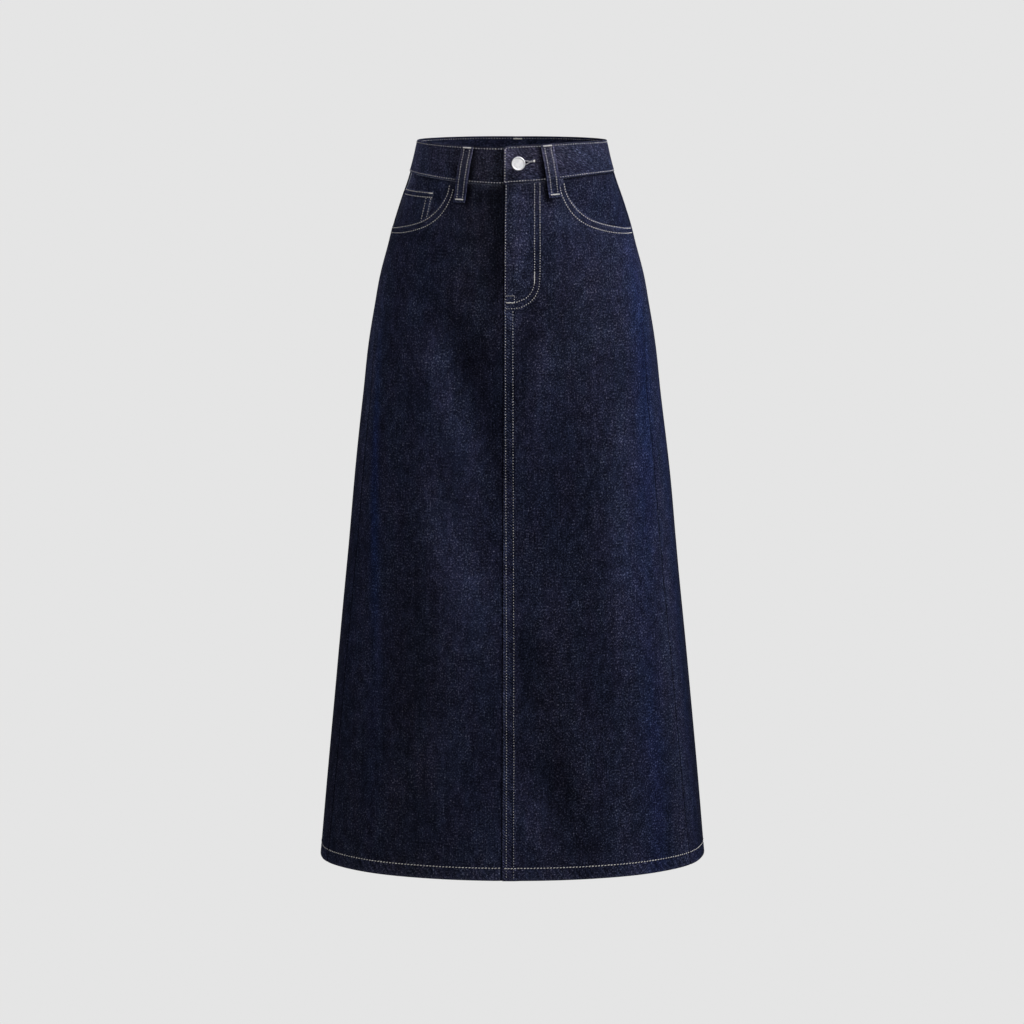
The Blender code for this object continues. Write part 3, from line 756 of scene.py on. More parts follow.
# Twisted topstitch thread. Tone runs from a dull stitch, sunk in the cloth, to a bright one, so it paints
# each stitch's shade and light. The hollows between the plies are painted darker, as shade.
def threadMaterial():
    material, tree, shader = newMaterial("thread", threadLook["finish"])
    tone = tree.nodes.new("ShaderNodeAttribute")
    tone.attribute_name = "tone"
    place = tree.nodes.new("ShaderNodeUVMap")
    place.uv_map = "cloth"
    split = tree.nodes.new("ShaderNodeSeparateXYZ")
    tree.links.new(place.outputs[0], split.inputs[0])
    around, along = threadLook["plies"]
    twist = calc(tree, "MULTIPLY", split.outputs[0], around)
    twist = calc(tree, "MULTIPLY_ADD", split.outputs[1], along, twist)
    ply = calc(tree, "MULTIPLY_ADD", calc(tree, "SINE", calc(tree, "MULTIPLY", twist, 2 * np.pi)), 0.5, 0.5)
    colour = mixColour(tree, tone.outputs["Fac"], threadLook["dull"], threadLook["bright"])
    hollow = mixColour(tree, tone.outputs["Fac"], threadLook["dullHollow"], threadLook["brightHollow"])
    colour = mixColour(tree, ramp(tree, ply, *threadLook["plyRamp"]), hollow, colour)
    tree.links.new(colour, shader.inputs["Base Color"])
    tree.links.new(ramp(tree, ply, 0.0, 1.0, *threadLook["roughness"]), shader.inputs["Roughness"])
    bump(tree, shader, ply, threadLook["relief"])
    return material


metalLook = {
    "dull": (0.78, 0.78, 0.81, 1),
    "bright": (0.90, 0.90, 0.91, 1),
    "wornSize": (0.004, 0.004, 0.004),
    "wornRamp": (0.4, 0.7),
    "grainSize": (0.00025, 0.00025, 0.00025),
    "grainRamp": (0.3, 0.7),
    "roughness": (0.46, 0.60),
    "relief": 0.00003,
    "finish": {"Metallic": 1.0},
}


def metalMaterial():
    material, tree, shader = newMaterial("buttonMetal", metalLook["finish"])
    coords = tree.nodes.new("ShaderNodeTexCoord").outputs["Object"]
    grain = noise(tree, coords, metalLook["grainSize"], 3)
    worn = ramp(tree, noise(tree, coords, metalLook["wornSize"], 4), *metalLook["wornRamp"])
    tree.links.new(mixColour(tree, worn, metalLook["dull"], metalLook["bright"]), shader.inputs["Base Color"])
    roughness = ramp(tree, grain, *metalLook["grainRamp"], *metalLook["roughness"])
    tree.links.new(roughness, shader.inputs["Roughness"])
    bump(tree, shader, grain, metalLook["relief"], 0.5)
    return material


tapeLook = {
    "dark": (0.004, 0.005, 0.010, 1),
    "pale": (0.020, 0.022, 0.034, 1),
    "ribSize": (0.0006, 0.004, 1),
    "relief": 0.0002,
    "finish": {"Roughness": 0.8},
}


def tapeMaterial():
    material, tree, shader = newMaterial("zipTape", tapeLook["finish"])
    cloth = tree.nodes.new("ShaderNodeUVMap")
    cloth.uv_map = "cloth"
    rib = calc(tree, "ABSOLUTE", noise(tree, cloth.outputs[0], tapeLook["ribSize"], 1))
    tree.links.new(mixColour(tree, rib, tapeLook["dark"], tapeLook["pale"]), shader.inputs["Base Color"])
    bump(tree, shader, rib, tapeLook["relief"])
    return material


weaveGroup, puckerGroup, toneAndShadeGroup = makeWeave(), makePucker(), makeToneAndShade()
denim = denimMaterial("denim", {"Slant": -1.0, "Lines": 0.35})
denimAcross = denimMaterial("denimAcross", {"Slant": -1.0, "Lines": 1.4}, 1.35)
denimLoop = denimMaterial("denimLoop", {"Slant": 1.0, "Lines": 1.2}, 1.2)
wrongSide = {
    "Slant": 1.0,
    "Lines": 0.5,
    "Warp": (0.10, 0.115, 0.15, 1),
    "Warp pale": (0.20, 0.215, 0.25, 1),
    "Weft": (0.03, 0.035, 0.07, 1),
}
denimInside = denimMaterial("denimInside", wrongSide)
thread, buttonMetal, zipTape = threadMaterial(), metalMaterial(), tapeMaterial()
print("materials ready")


def addPiece(name, mesh, nodes=()):
    piece = bpy.data.objects.new(name, mesh)
    bpy.context.scene.collection.objects.link(piece)
    mesh.shade_smooth()
    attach(piece, "root")
    if nodes:
        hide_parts(*nodes)
    return piece


toneAndShading = {
    "wearWidth": 3.4,
    "foldWearAndShade": 0.12,  # paler on a fold's ridge and darker in its hollow, for each millimetre that it stands out: partly wear, partly painted shade
    "paintedShadowDarker": 2.6,
    "leftCoarser": 0.14,  # and the right side as much finer
    "leftSharp": 3,
}
farAway = 99.0  # a distance that counts as far from any edge
otherCloth = 900  # where the waistband, the loops and the zip are cut, along the length of the cloth


# Values that are the same at every point of a piece
def spread(like, *values):
    return [np.full(like.shape, value) for value in values]


# A slab of cloth. place(column, row) gives turn, depth, lift of the outside, thickness, the distance from
# the nearest edge and sometimes the share of painted shadow, negative for a painted highlight, for each point
# of a grid. rightSide(row) is where the inside shows the cloth's right side. cast lists painted shadows.
def sew(name, columns, rows, place, materials, along, rightSide=None, paler=0.0, bluer=0.0, cast=paintedLoopShadows):
    bm = bmesh.new()
    bmesh.ops.create_grid(bm, x_segments=columns, y_segments=rows, size=0.5)
    raised = bmesh.ops.extrude_face_region(bm, geom=bm.faces[:], use_keep_orig=True)
    top = [item for item in raised["geom"] if isinstance(item, bmesh.types.BMVert)]
    bmesh.ops.translate(bm, verts=top, vec=(0, 0, 1))
    cell = np.array([vertex.co for vertex in bm.verts])
    column = np.rint((cell[:, 0] + 0.5) * columns).astype(int)
    row = np.rint((0.5 - cell[:, 1]) * rows).astype(int)
    through = np.rint(cell[:, 2])
    turn, depth, lift, thick, away, *paintedShadow = place(column, row)
    paintedShadow = paintedShadow[0] if paintedShadow else np.zeros(turn.shape)
    drawn = rounding(away, thick)
    points = lifted(turn, depth, lift - drawn - through * (thick - 2 * drawn))

    grid = np.zeros((rows + 1, columns + 1, 3))
    outside = through == 0
    grid[row[outside], column[outside]] = points[outside]
    heading = np.sign(turn[column == columns][0] - turn[column == 0][0])
    lengths = np.linalg.norm(np.diff(grid, axis=1), axis=2) * heading
    across = np.concatenate((np.zeros((rows + 1, 1)), np.cumsum(lengths, axis=1)), axis=1)
    clothPlace = np.stack((across[row, column], along - depth), axis=1) * mm

    for vertex, point in zip(bm.verts, points * mm):
        vertex.co = point
    for polygon in bm.faces:
        if all(through[vertex.index] for vertex in polygon.verts):
            first = min(vertex.index for vertex in polygon.verts)
            if rightSide is None or not rightSide(row[first]):
                polygon.material_index = 1
    bmesh.ops.recalc_face_normals(bm, faces=bm.faces)
    mesh = bpy.data.meshes.new(name)
    bm.to_mesh(mesh)
    bm.free()
    corner = np.zeros(len(mesh.loops), int)
    mesh.loops.foreach_get("vertex_index", corner)
    mesh.uv_layers.new(name="cloth").data.foreach_set("uv", clothPlace[corner].ravel())
    shade = strokes(paintedShadeAndTone + cast, turn, depth) + toneAndShading["foldWearAndShade"] * foldHeight(turn, depth)
    left = np.clip(toneAndShading["leftSharp"] * np.sin(np.radians(turn)), -1, 1)
    toneAndShadeAttributes = {
        "edgeWearAndHighlight": (1 - ease(away / toneAndShading["wearWidth"])) * (paintedShadow == 0),
        "shade": shade - toneAndShading["paintedShadowDarker"] * paintedShadow + paler,
        "blue": strokes(paintedSheenAndTints, turn, depth) + bluer,
        "grain": 1 + toneAndShading["leftCoarser"] * left + strokes(grains, turn, depth),
        "seamPull": seamPull(turn, depth),
        "hemPull": hemPull(depth),
    }
    for tone, values in toneAndShadeAttributes.items():
        mesh.attributes.new(tone, "FLOAT", "POINT").data.foreach_set("value", values.astype(np.float32))
    for material in materials:
        mesh.materials.append(material)
    return mesh


# Front and back panels
band = {
    "height": 37.5,
    "frontDrop": 5.5,
    "proud": 0.7,
    "cloth": 2.4,
    "ease": 14,
    "underEnd": 26,
    "overEnd": -2.8,
    "columns": 236,
    "endShadow": (2.0, 0.75),  # width and share
    "topShadow": (2.2, 0.25),
}
fly = {"width": 41, "ease": 8, "turn": 156, "end": 190}
pocket = {"start": 65.5, "side": 141, "depth": 100.5, "curve": 1.75, "under": 24, "inward": 20}
hip = 114
bandLap = band["cloth"] + skirt["gap"]


def bandSeam(turn):
    return band["height"] + band["frontDrop"] * np.maximum(0, np.cos(np.radians(turn))) ** 3


pocketTop = float(bandSeam(turnAt(pocket["start"], band["height"])))


def pocketEdge(x):
    share = np.clip((x - pocket["start"]) / (pocket["side"] - pocket["start"]), 0, 1)
    power = pocket["curve"]
    return pocketTop + (pocket["depth"] - pocketTop) * (1 - (1 - share) ** power) ** (1 / power)


def flyEdge(depth):
    share = np.clip((depth - fly["turn"]) / (fly["end"] - fly["turn"]), 0, 1)
    return skirt["seamStrip"] + (fly["width"] - skirt["seamStrip"]) * np.sqrt(1 - share**2)


def frontLift(x, depth, left):
    if left:
        return lapStep / 2 * (1 - ease((x - flyEdge(depth)) / fly["ease"]))
    return -lapStep / 2 * (1 - ease((x + skirt["lapEdge"]) / fly["ease"]))


def backLift(x, left):
    if left:
        return lapStep / 2 * (1 - ease((x - skirt["seamStrip"]) / skirt["seamEase"]))
    return -lapStep / 2 * (1 - ease((x + skirt["lapEdge"]) / skirt["seamEase"]))


# The side seam is pressed open, so both edges roll in
def seamRoll(away):
    return -skirt["sideRoll"] * (1 - ease(away / skirt["rollWidth"]))


# Rows of a panel: close together below its top edge, evenly spread from there to the hip, and then at
# set depths down to the hem, whose edge has rows of its own
topRows = 0.5 * np.array([0, 0.08, 0.3, 0.62, 1, 1.8, 3, 4.5])
hipRows = 12
hemEdge = {"from": 848, "rows": [849, 849.7, 850.4, 851.2], "to": 852}
lowerRows = strip(hip, skirt["length"], skirt["cell"], 1.2)[5:]
aboveHem, belowHem = lowerRows[lowerRows < hemEdge["from"]], lowerRows[lowerRows > hemEdge["to"]]
lowerRows = np.concatenate(([hip], aboveHem, hemEdge["rows"], belowHem))
panelRows = len(topRows) + hipRows + len(lowerRows) - 1
hemRows = 9  # rows of the hem, turned up so that its inside is the cloth's right side
# Columns of a panel, in millimetres
columnPlan = {
    "inner": 12,  # the inner edge's own columns reach this far
    "step": 2.2,
    "beforeFly": -3.5,
    "nearFly": (-2, -1, 0, 1, 2, 4, 6, 8),  # from the edge of the fly's facing
    "frontCount": 34,
    "backCount": 46,
    "backSeam": (12, 13, 14.2, 16, 18, 20, 22),
    "nearSide": np.array([0, 0.05, 0.15, 0.3, 0.5, 1.2, 2.4, 3.6]),  # from the side seam
}
# Widths of the painted shadows at the side seams and beside the lap
paintedShadowWidth = {"side": 1.6, "lap": 2.4}
panelNodes = {
    "frontLeft": "front_left",
    "frontRight": "front_right",
    "backLeft": "back_left",
    "backRight": "back_right",
}


def panelDepth(row, top):
    fixed, upperCount = len(topRows), len(topRows) + hipRows
    share = np.clip((row - fixed + 1) / (hipRows + 1), 0, 1)
    start = top + topRows[-1]
    upper = np.where(row < fixed, top + topRows[np.minimum(row, fixed - 1)], start + (hip - start) * share)
    lower = lowerRows[np.clip(row - upperCount, 0, len(lowerRows) - 1)]
    return np.where(row < upperCount, upper, lower)


def hemInside(row):
    return row > panelRows - hemRows


def innerColumns(left):
    first, radius = (skirt["lapEdge"], 1) if left else (-skirt["seamUnder"], 0.5)
    return strip(first, columnPlan["inner"], columnPlan["step"], radius)[:-4]


def panelThickness(depth, folded):
    thick = np.where(depth > skirt["length"] - skirt["hemHeight"], skirt["hemCloth"], skirt["cloth"])
    return np.where(folded, np.maximum(thick, skirt["folded"]), thick)


def panelAway(x, depth, top, sideAway, left):
    innerAway = x - (skirt["lapEdge"] if left else -skirt["seamUnder"])
    return np.minimum.reduce((sideAway, innerAway, depth - top, skirt["length"] - depth))


def sewPanel(name, columns, place):
    mesh = sew(name, columns, panelRows, place, [denim, denimInside], skirt["length"], hemInside)
    return addPiece(name, mesh, [panelNodes[name]])


def makeFront(left):
    near = [(x, 0) for x in innerColumns(left)]
    first = columnPlan["inner"]
    if left:  # places that keep to the edge of the fly facing, and places between it and the pocket
        last = columnPlan["nearFly"][-1]
        near += [(first * (1 - s) + columnPlan["beforeFly"] * s, s) for s in np.linspace(0, 1, 8)]
        near += [(x, 1) for x in columnPlan["nearFly"]]
        near += [(last + (pocket["start"] - last) * s, 1 - s) for s in np.linspace(0.2, 0.8, 4)]
    else:
        near += [(x, 0) for x in even(first, pocket["start"] - 4, 4)]
    nearShift, nearFollow = (np.array(values, float) for values in zip(*near))
    count, nearSide = columnPlan["frontCount"], columnPlan["nearSide"][::-1]
    far = np.concatenate((np.linspace(0, 0.97, count), np.ones(len(nearSide))))
    inset = np.concatenate((np.zeros(count), nearSide))
    columns = len(near) + len(far) - 1

    def turns(column, depth):
        c = np.minimum(column, len(near) - 1)
        x = nearShift[c] + nearFollow[c] * flyEdge(depth)
        f = np.clip(column - len(near), 0, len(far) - 1)
        start = turnAt(pocket["start"], depth)
        side = sideTurn(depth, -skirt["sideLap"])
        away = start + (side - start) * far[f] - np.degrees(inset[f] / reachAt(side, depth))
        return np.where(column < len(near), turnAt(x, depth), away)

    def place(column, row):
        top = np.full(column.shape, pocketTop + skirt["gap"])
        for _ in range(6):
            x = outline(turns(column, top), top)[0]
            top = np.where(x < pocket["start"], bandSeam(turnAt(x, top)), pocketEdge(x)) + skirt["gap"]
        depth = panelDepth(row, top)
        turn = turns(column, depth)
        x = outline(turn, depth)[0]
        thick = panelThickness(depth, left & (x < flyEdge(depth) - skirt["flyInset"]))
        f = np.clip(column - len(near), 0, len(far) - 1)
        sideAway = np.where((column < len(near)) | (far[f] < 1), farAway, inset[f])
        lift = frontLift(x, depth, left) + seamRoll(sideAway)
        paintedShadow = 1 - ease(sideAway / paintedShadowWidth["side"])
        if not left:  # the shadow beside the lap
            paintedShadow = np.maximum(paintedShadow, 1 - ease((x + skirt["lapEdge"]) / paintedShadowWidth["lap"]))
        away = panelAway(x, depth, top, sideAway, left)
        return (turn if left else -turn), depth, lift, thick, away, paintedShadow

    return sewPanel("frontLeft" if left else "frontRight", columns, place)


def makeBack(left):
    inner = np.concatenate((innerColumns(left), columnPlan["backSeam"]))[::-1]
    count, nearSide = columnPlan["backCount"], columnPlan["nearSide"]
    far = np.concatenate((np.zeros(len(nearSide)), np.linspace(0.03, 0.98, count)))
    inset = np.concatenate((nearSide, np.zeros(count)))
    columns = len(far) + len(inner) - 1

    def turns(column, depth):
        f = np.minimum(column, len(far) - 1)
        side = sideTurn(depth, skirt["sideLap"])
        end = 180 - turnAt(inner[0], depth)
        away = side + (end - side) * far[f] + np.degrees(inset[f] / reachAt(side, depth))
        x = inner[np.clip(column - len(far), 0, len(inner) - 1)]
        return np.where(column < len(far), away, 180 - turnAt(x, depth))

    def place(column, row):
        top = np.full(column.shape, band["height"] + skirt["gap"])
        depth = panelDepth(row, top)
        turn = turns(column, depth)
        x = outline(turn, depth)[0]
        thick = panelThickness(depth, left & (x < skirt["seamStrip"] + skirt["stripOver"]))
        f = np.minimum(column, len(far) - 1)
        sideAway = np.where((column >= len(far)) | (far[f] > 0), farAway, inset[f])
        lift = backLift(x, left) + seamRoll(sideAway)
        paintedShadow = 1 - ease(sideAway / paintedShadowWidth["side"])
        away = panelAway(x, depth, top, sideAway, left)
        return (turn if left else -turn), depth, lift, thick, away, paintedShadow

    return sewPanel("backLeft" if left else "backRight", columns, place)


frontLeft, frontRight = makeFront(True), makeFront(False)
backLeft, backRight = makeBack(True), makeBack(False)
print("panels ready")


# What shows inside the pocket openings
# The wearer's left facing is darker, as painted shade inside the pocket's opening, and a little bluer
facing = {"columns": 44, "rows": 30, "leftShadeAndTone": {"paler": -0.65, "bluer": 0.12}}
coin = {"top": 55, "edge": 87, "slant": 0.22, "under": 14, "paler": 0.25}


def makeFacing(left):
    side, lift = (1, -layerStep) if left else (-1, -2 * layerStep - skirt["gap"])
    columns, rows = facing["columns"], facing["rows"]

    def turns(column, depth):
        near = turnAt(pocket["start"] - pocket["inward"], depth)
        return near + (sideTurn(depth, skirt["gap"] / 2) - near) * column / columns

    def place(column, row):
        top = bandSeam(turns(column, band["height"])) + skirt["gap"]
        bottom = top
        for _ in range(6):
            bottom = pocketEdge(outline(turns(column, bottom), bottom)[0]) + pocket["under"]
        depth = top + (bottom - top) * row / rows
        turn = turns(column, depth)
        return side * turn, depth, *spread(turn, lift, skirt["cloth"], farAway)

    name = "pocketFacingLeft" if left else "pocketFacingRight"
    node = "pocket_facing_left" if left else "pocket_facing_right"
    tone = facing["leftShadeAndTone"] if left else {}
    mesh = sew(name, columns, rows, place, [denim, denimInside], skirt["length"], **tone)
    return addPiece(name, mesh, [node])


def coinEdge(depth):
    return coin["edge"] + coin["slant"] * (depth - coin["top"])


def makeCoinPocket():
    across = strip(0, 1, 0.06, 0.02)
    down = np.concatenate(([0, 0.008, 0.02, 0.035], np.linspace(0.06, 1, 18)))
    columns, rows = len(across) - 1, len(down) - 1

    def place(column, row):
        share = across[column]
        bottom = pocketEdge(coin["edge"] + (pocket["side"] - coin["edge"]) * share) + coin["under"]
        depth = coin["top"] + (bottom - coin["top"]) * down[row]
        edge = turnAt(coinEdge(depth), depth)
        side = sideTurn(depth, skirt["gap"] / 2)
        turn = edge + (side - edge) * share
        away = np.minimum(depth - coin["top"], np.radians(turn - edge) * reachAt(turn, depth))
        lift = -layerStep - skirt["gap"] / 2
        return -turn, depth, *spread(turn, lift, skirt["cloth"]), away

    mesh = sew("coinPocket", columns, rows, place, [denim, denimInside], skirt["length"], paler=coin["paler"])
    return addPiece("coinPocket", mesh, ["coin_pocket"])


facings = [makeFacing(True), makeFacing(False)]
coinPocket = makeCoinPocket()
print("pockets ready")


# Waistband and its buttonhole
button = {
    "x": 14,
    "depth": 21.4,
    "radius": 8.1,
    "cap": 2.6,
    "rimHighlight": 0.45,
    "post": 2.2,
    "tack": 4.6,
    "tackCap": 1.2,
}
keyhole = {"eye": 2.7, "neck": 6, "slit": 1.4, "tip": 0.25, "length": 15, "tilt": 10}


def bandLift(turn, x):
    under = bandLap / 2 * (1 - ease((skirt["lapEdge"] - x) / band["ease"]))
    over = bandLap / 2 * (1 - ease((x - band["underEnd"]) / band["ease"]))
    return band["proud"] - np.where(turn > -90, under, 0) + np.where(turn < -270, over, 0)


def makeWaistband():
    underEnd = float(turnAt(band["underEnd"], band["height"] / 2))
    overEnd = float(turnAt(band["overEnd"], band["height"] / 2)) - 360
    ends = np.array([0, 0.1, 0.33, 0.7, 1.2]) / 1.6
    middle = np.linspace(underEnd - 1.5, overEnd + 1.5, band["columns"])
    turns = np.concatenate((underEnd - ends, middle, overEnd + ends[::-1]))
    down = strip(0, band["height"], 2.4, 1.2) / band["height"]
    columns, rows = len(turns) - 1, len(down) - 1

    def shadow(distance, width, share):
        return share * (1 - ease(distance / width))

    def place(column, row):
        turn = turns[column]
        depth = bandSeam(turn) * down[row]
        x = outline(turn, depth)[0]
        ends = np.minimum(underEnd - turn, turn - overEnd) * np.radians(1) * reachAt(turn, depth)
        away = np.minimum.reduce((depth, bandSeam(turn) - depth, ends))
        paintedShadow = np.where(turn > -90, shadow(band["overEnd"] - x, *band["endShadow"]), 0)
        paintedShadow = np.maximum(paintedShadow, shadow(depth, *band["topShadow"]))
        return turn, depth, bandLift(turn, x), np.full(turn.shape, band["cloth"]), away, paintedShadow

    return sew("waistband", columns, rows, place, [denimAcross, denimAcross], otherCloth)


def buttonFrame():
    turn = turnAt(button["x"], button["depth"])
    seat = Vector(lifted(turn, button["depth"], 0))
    out = Vector(outward(turn, button["depth"]))
    level = Vector((0, 0, 1)).cross(out).normalized()
    axes = Matrix((level, out.cross(level), out)).transposed().to_4x4()
    turned = axes @ Matrix.Rotation(radians(keyhole["tilt"]), 4, "Z")
    return Matrix.Translation(seat * mm) @ turned @ Matrix.Scale(mm, 4)


def keyholeOutline():
    eye = [(keyhole["eye"] * cos(radians(a)), keyhole["eye"] * sin(radians(a))) for a in range(40, 321, 28)]
    neck, slit, tip, far = (keyhole[name] for name in ("neck", "slit", "tip", "length"))
    return eye + [(neck, -slit), (far, -tip), (far, tip), (neck, slit)]


def cutBand(mesh):
    underOver = band["proud"] - bandLap / 2 + skirt["gap"] / 2
    bm = bmesh.new()
    floor = bm.faces.new([bm.verts.new((x, y, underOver)) for x, y in keyholeOutline()])
    raised = bmesh.ops.extrude_face_region(bm, geom=[floor], use_keep_orig=True)
    top = [item for item in raised["geom"] if isinstance(item, bmesh.types.BMVert)]
    bmesh.ops.translate(bm, verts=top, vec=(0, 0, 2 * bandLap))
    radius = button["post"] + skirt["gap"]
    bmesh.ops.create_cone(bm, cap_ends=True, segments=24, radius1=radius, radius2=radius, depth=4 * bandLap)
    bmesh.ops.recalc_face_normals(bm, faces=bm.faces)
    bmesh.ops.transform(bm, matrix=buttonFrame(), verts=bm.verts)
    cutterMesh = bpy.data.meshes.new("bandCutter")
    bm.to_mesh(cutterMesh)
    bm.free()
    cutter = bpy.data.objects.new("bandCutter", cutterMesh)
    whole = bpy.data.objects.new("bandWhole", mesh)
    for item in (cutter, whole):
        bpy.context.scene.collection.objects.link(item)
    hole = whole.modifiers.new("hole", "BOOLEAN")
    hole.object = cutter
    hole.use_self = True
    graph = bpy.context.evaluated_depsgraph_get()
    cutMesh = bpy.data.meshes.new_from_object(whole.evaluated_get(graph), depsgraph=graph)
    cutMesh.name = "waistbandDenim"
    for item in (cutter, whole):
        bpy.data.objects.remove(item)
    return cutMesh


waistband = addPiece("waistbandDenim", cutBand(makeWaistband()), ["waistband"])
print("waistband ready")


# Belt loops
loop = {
    "width": 12,
    "cloth": 2.0,
    "top": 1,
    "end": 65.5,
    "bow": 3.2,
    "tack": 6,
    "rise": 16,
    "drop": 6,
    "frontTop": (46.3, 45.0),  # left and right
    "frontEnd": (57.0, 53.6),
    "leftShorter": 3.5,
    "sideTurn": 122,
    "rowSide": 3.0,
    "groove": (0.8, 0.25),  # width and depth
    "rimHighlight": (1.3, 0.65),  # width, and how much paler, as a painted highlight on the loop's edges
    "paler": 0.25,
}
leftTop, rightTop = (float(turnAt(x, 0)) for x in loop["frontTop"])
leftEnd, rightEnd = (float(turnAt(x, 60)) for x in loop["frontEnd"])
# name: node, turns at the top and the end, lift of the cloth under the lower end, length cut off
loops = {
    "beltLoopFrontLeft": ("belt_loop_front_left", leftTop, leftEnd, 0, loop["leftShorter"]),
    "beltLoopFrontRight": ("belt_loop_front_right", -rightTop, -rightEnd, 0, 0),
    "beltLoopSideLeft": ("belt_loop_side_left", loop["sideTurn"], loop["sideTurn"], 0, 1.5),
    "beltLoopSideRight": ("belt_loop_side_right", -loop["sideTurn"], -loop["sideTurn"], 0, 1),
    "beltLoopBack": ("belt_loop_back", 180, 180, lapStep / 2, 1),
}


def loopPlace(topTurn, endTurn, seamLift, end, side, depth):
    share = (depth - loop["top"]) / (loop["end"] - loop["top"])
    middle = topTurn + (endTurn - topTurn) * share
    turn = middle + np.degrees(side / reachAt(middle, depth))
    fromTop, fromEnd = depth - loop["top"] - loop["tack"], end - loop["tack"] - depth
    bow = loop["bow"] * ease(fromTop / loop["rise"]) * ease(fromEnd / loop["rise"])
    onBand = 1 - ease((depth - bandSeam(turn)) / loop["drop"])
    seat = seamLift + (band["proud"] - seamLift) * onBand + skirt["gap"]
    return turn, seat + bow + loop["cloth"]


def makeLoop(name, node, topTurn, endTurn, seamLift, shorter):
    half, end = loop["width"] / 2, loop["end"] - shorter
    grooveWidth, grooveDepth = loop["groove"]
    rimWidth, rimPaler = loop["rimHighlight"]
    across = strip(-half, half, 1.2, 1)
    down = strip(loop["top"], end, 1.6, 1)
    columns, rows = len(across) - 1, len(down) - 1

    def place(column, row):
        side, depth = across[column], down[row]
        turn, lift = loopPlace(topTurn, endTurn, seamLift, end, side, depth)
        groove = grooveDepth * np.exp(-(((np.abs(side) - loop["rowSide"]) / grooveWidth) ** 2))
        away = np.minimum.reduce((half - np.abs(side), depth - loop["top"], end - depth))
        # a painted highlight along the loop's edges
        rimHighlight = -rimPaler * (1 - ease((half - np.abs(side)) / rimWidth))
        return turn, depth, lift - groove, np.full(turn.shape, loop["cloth"]) - groove, away, rimHighlight

    mesh = sew(name, columns, rows, place, [denimLoop, denimLoop], otherCloth, paler=loop["paler"], cast=[])
    return addPiece(name, mesh, [node])


loopPieces = [makeLoop(name, *values) for name, values in loops.items()]
print("belt loops ready")


# Sewing. Each point of a row carries one stitch, which lies from one hole to the next.
stitch = {"pitch": 3.3, "length": 1.6, "width": 1.14, "height": 0.7, "sink": 0.05, "lean": 0.09}
tack = {"pitch": 0.62, "width": 0.75, "height": 0.62, "raise": 0.22, "slant": 0.35}
rowTones = {  # from the dullest to the brightest stitch; this paints each row's light and shade, darkest inside the skirt
    "centreFront": (0.1, 0.7),
    "centreBack": (0.3, 0.7),
    "fly": (0.4, 0.9),
    "flyDown": (0.3, 0.8),
    "flyAcross": (0.5, 1.0),
    "pocketLeft": (0.75, 1.0),
    "pocketRight": (0.6, 1.0),
    "coinTop": (0.7, 1.0),
    "coinEdge": (0.45, 0.9),
    "bandTop": (0.1, 0.6),
    "bandSeam": (0.2, 0.65),
    "bandInside": (0.0, 0.3),
    "bandEnd": (0.3, 0.8),
    "hem": (0.75, 1.0),
    "hemInside": (0.2, 0.6),
    "loop": (0.35, 0.8),
    "loopTack": (0.7, 0.9),
    "tack": (0.7, 1.0),
    "keyhole": (0.0, 0.4),
}


def finishShape(name, bm, material):
    mesh = bpy.data.meshes.new(name)
    bm.to_mesh(mesh)
    bm.free()
    mesh.shade_smooth()
    mesh.materials.append(material)
    shape = bpy.data.objects.new(name, mesh)
    bpy.context.scene.collection.objects.link(shape)
    return shape


def makeStitch():
    bm = bmesh.new()
    bm.loops.layers.uv.new("cloth")
    bmesh.ops.create_uvsphere(bm, u_segments=8, v_segments=6, radius=0.5, calc_uvs=True)
    return finishShape("stitchShape", bm, thread)


# Geometry nodes that set one shape on each point, turned and sized by the point's attributes
def makeLaying():
    tree = bpy.data.node_groups.new("layShapes", "GeometryNodeTree")
    tree.interface.new_socket(name="Geometry", in_out="INPUT", socket_type="NodeSocketGeometry")
    tree.interface.new_socket(name="Shape", in_out="INPUT", socket_type="NodeSocketObject")
    tree.interface.new_socket(name="Geometry", in_out="OUTPUT", socket_type="NodeSocketGeometry")
    given, made = tree.nodes.new("NodeGroupInput"), tree.nodes.new("NodeGroupOutput")
    shape = tree.nodes.new("GeometryNodeObjectInfo")
    lay = tree.nodes.new("GeometryNodeInstanceOnPoints")
    real = tree.nodes.new("GeometryNodeRealizeInstances")
    for name, kind, socket in (("turned", "QUATERNION", "Rotation"), ("size", "FLOAT_VECTOR", "Scale")):
        node = tree.nodes.new("GeometryNodeInputNamedAttribute")
        node.data_type = kind
        node.inputs["Name"].default_value = name
        tree.links.new(node.outputs["Attribute"], lay.inputs[socket])
    tree.links.new(given.outputs["Geometry"], lay.inputs["Points"])
    tree.links.new(given.outputs["Shape"], shape.inputs["Object"])
    tree.links.new(shape.outputs["Geometry"], lay.inputs["Instance"])
    tree.links.new(lay.outputs["Instances"], real.inputs["Geometry"])
    tree.links.new(real.outputs["Geometry"], made.inputs["Geometry"])
    return tree


laying = makeLaying()


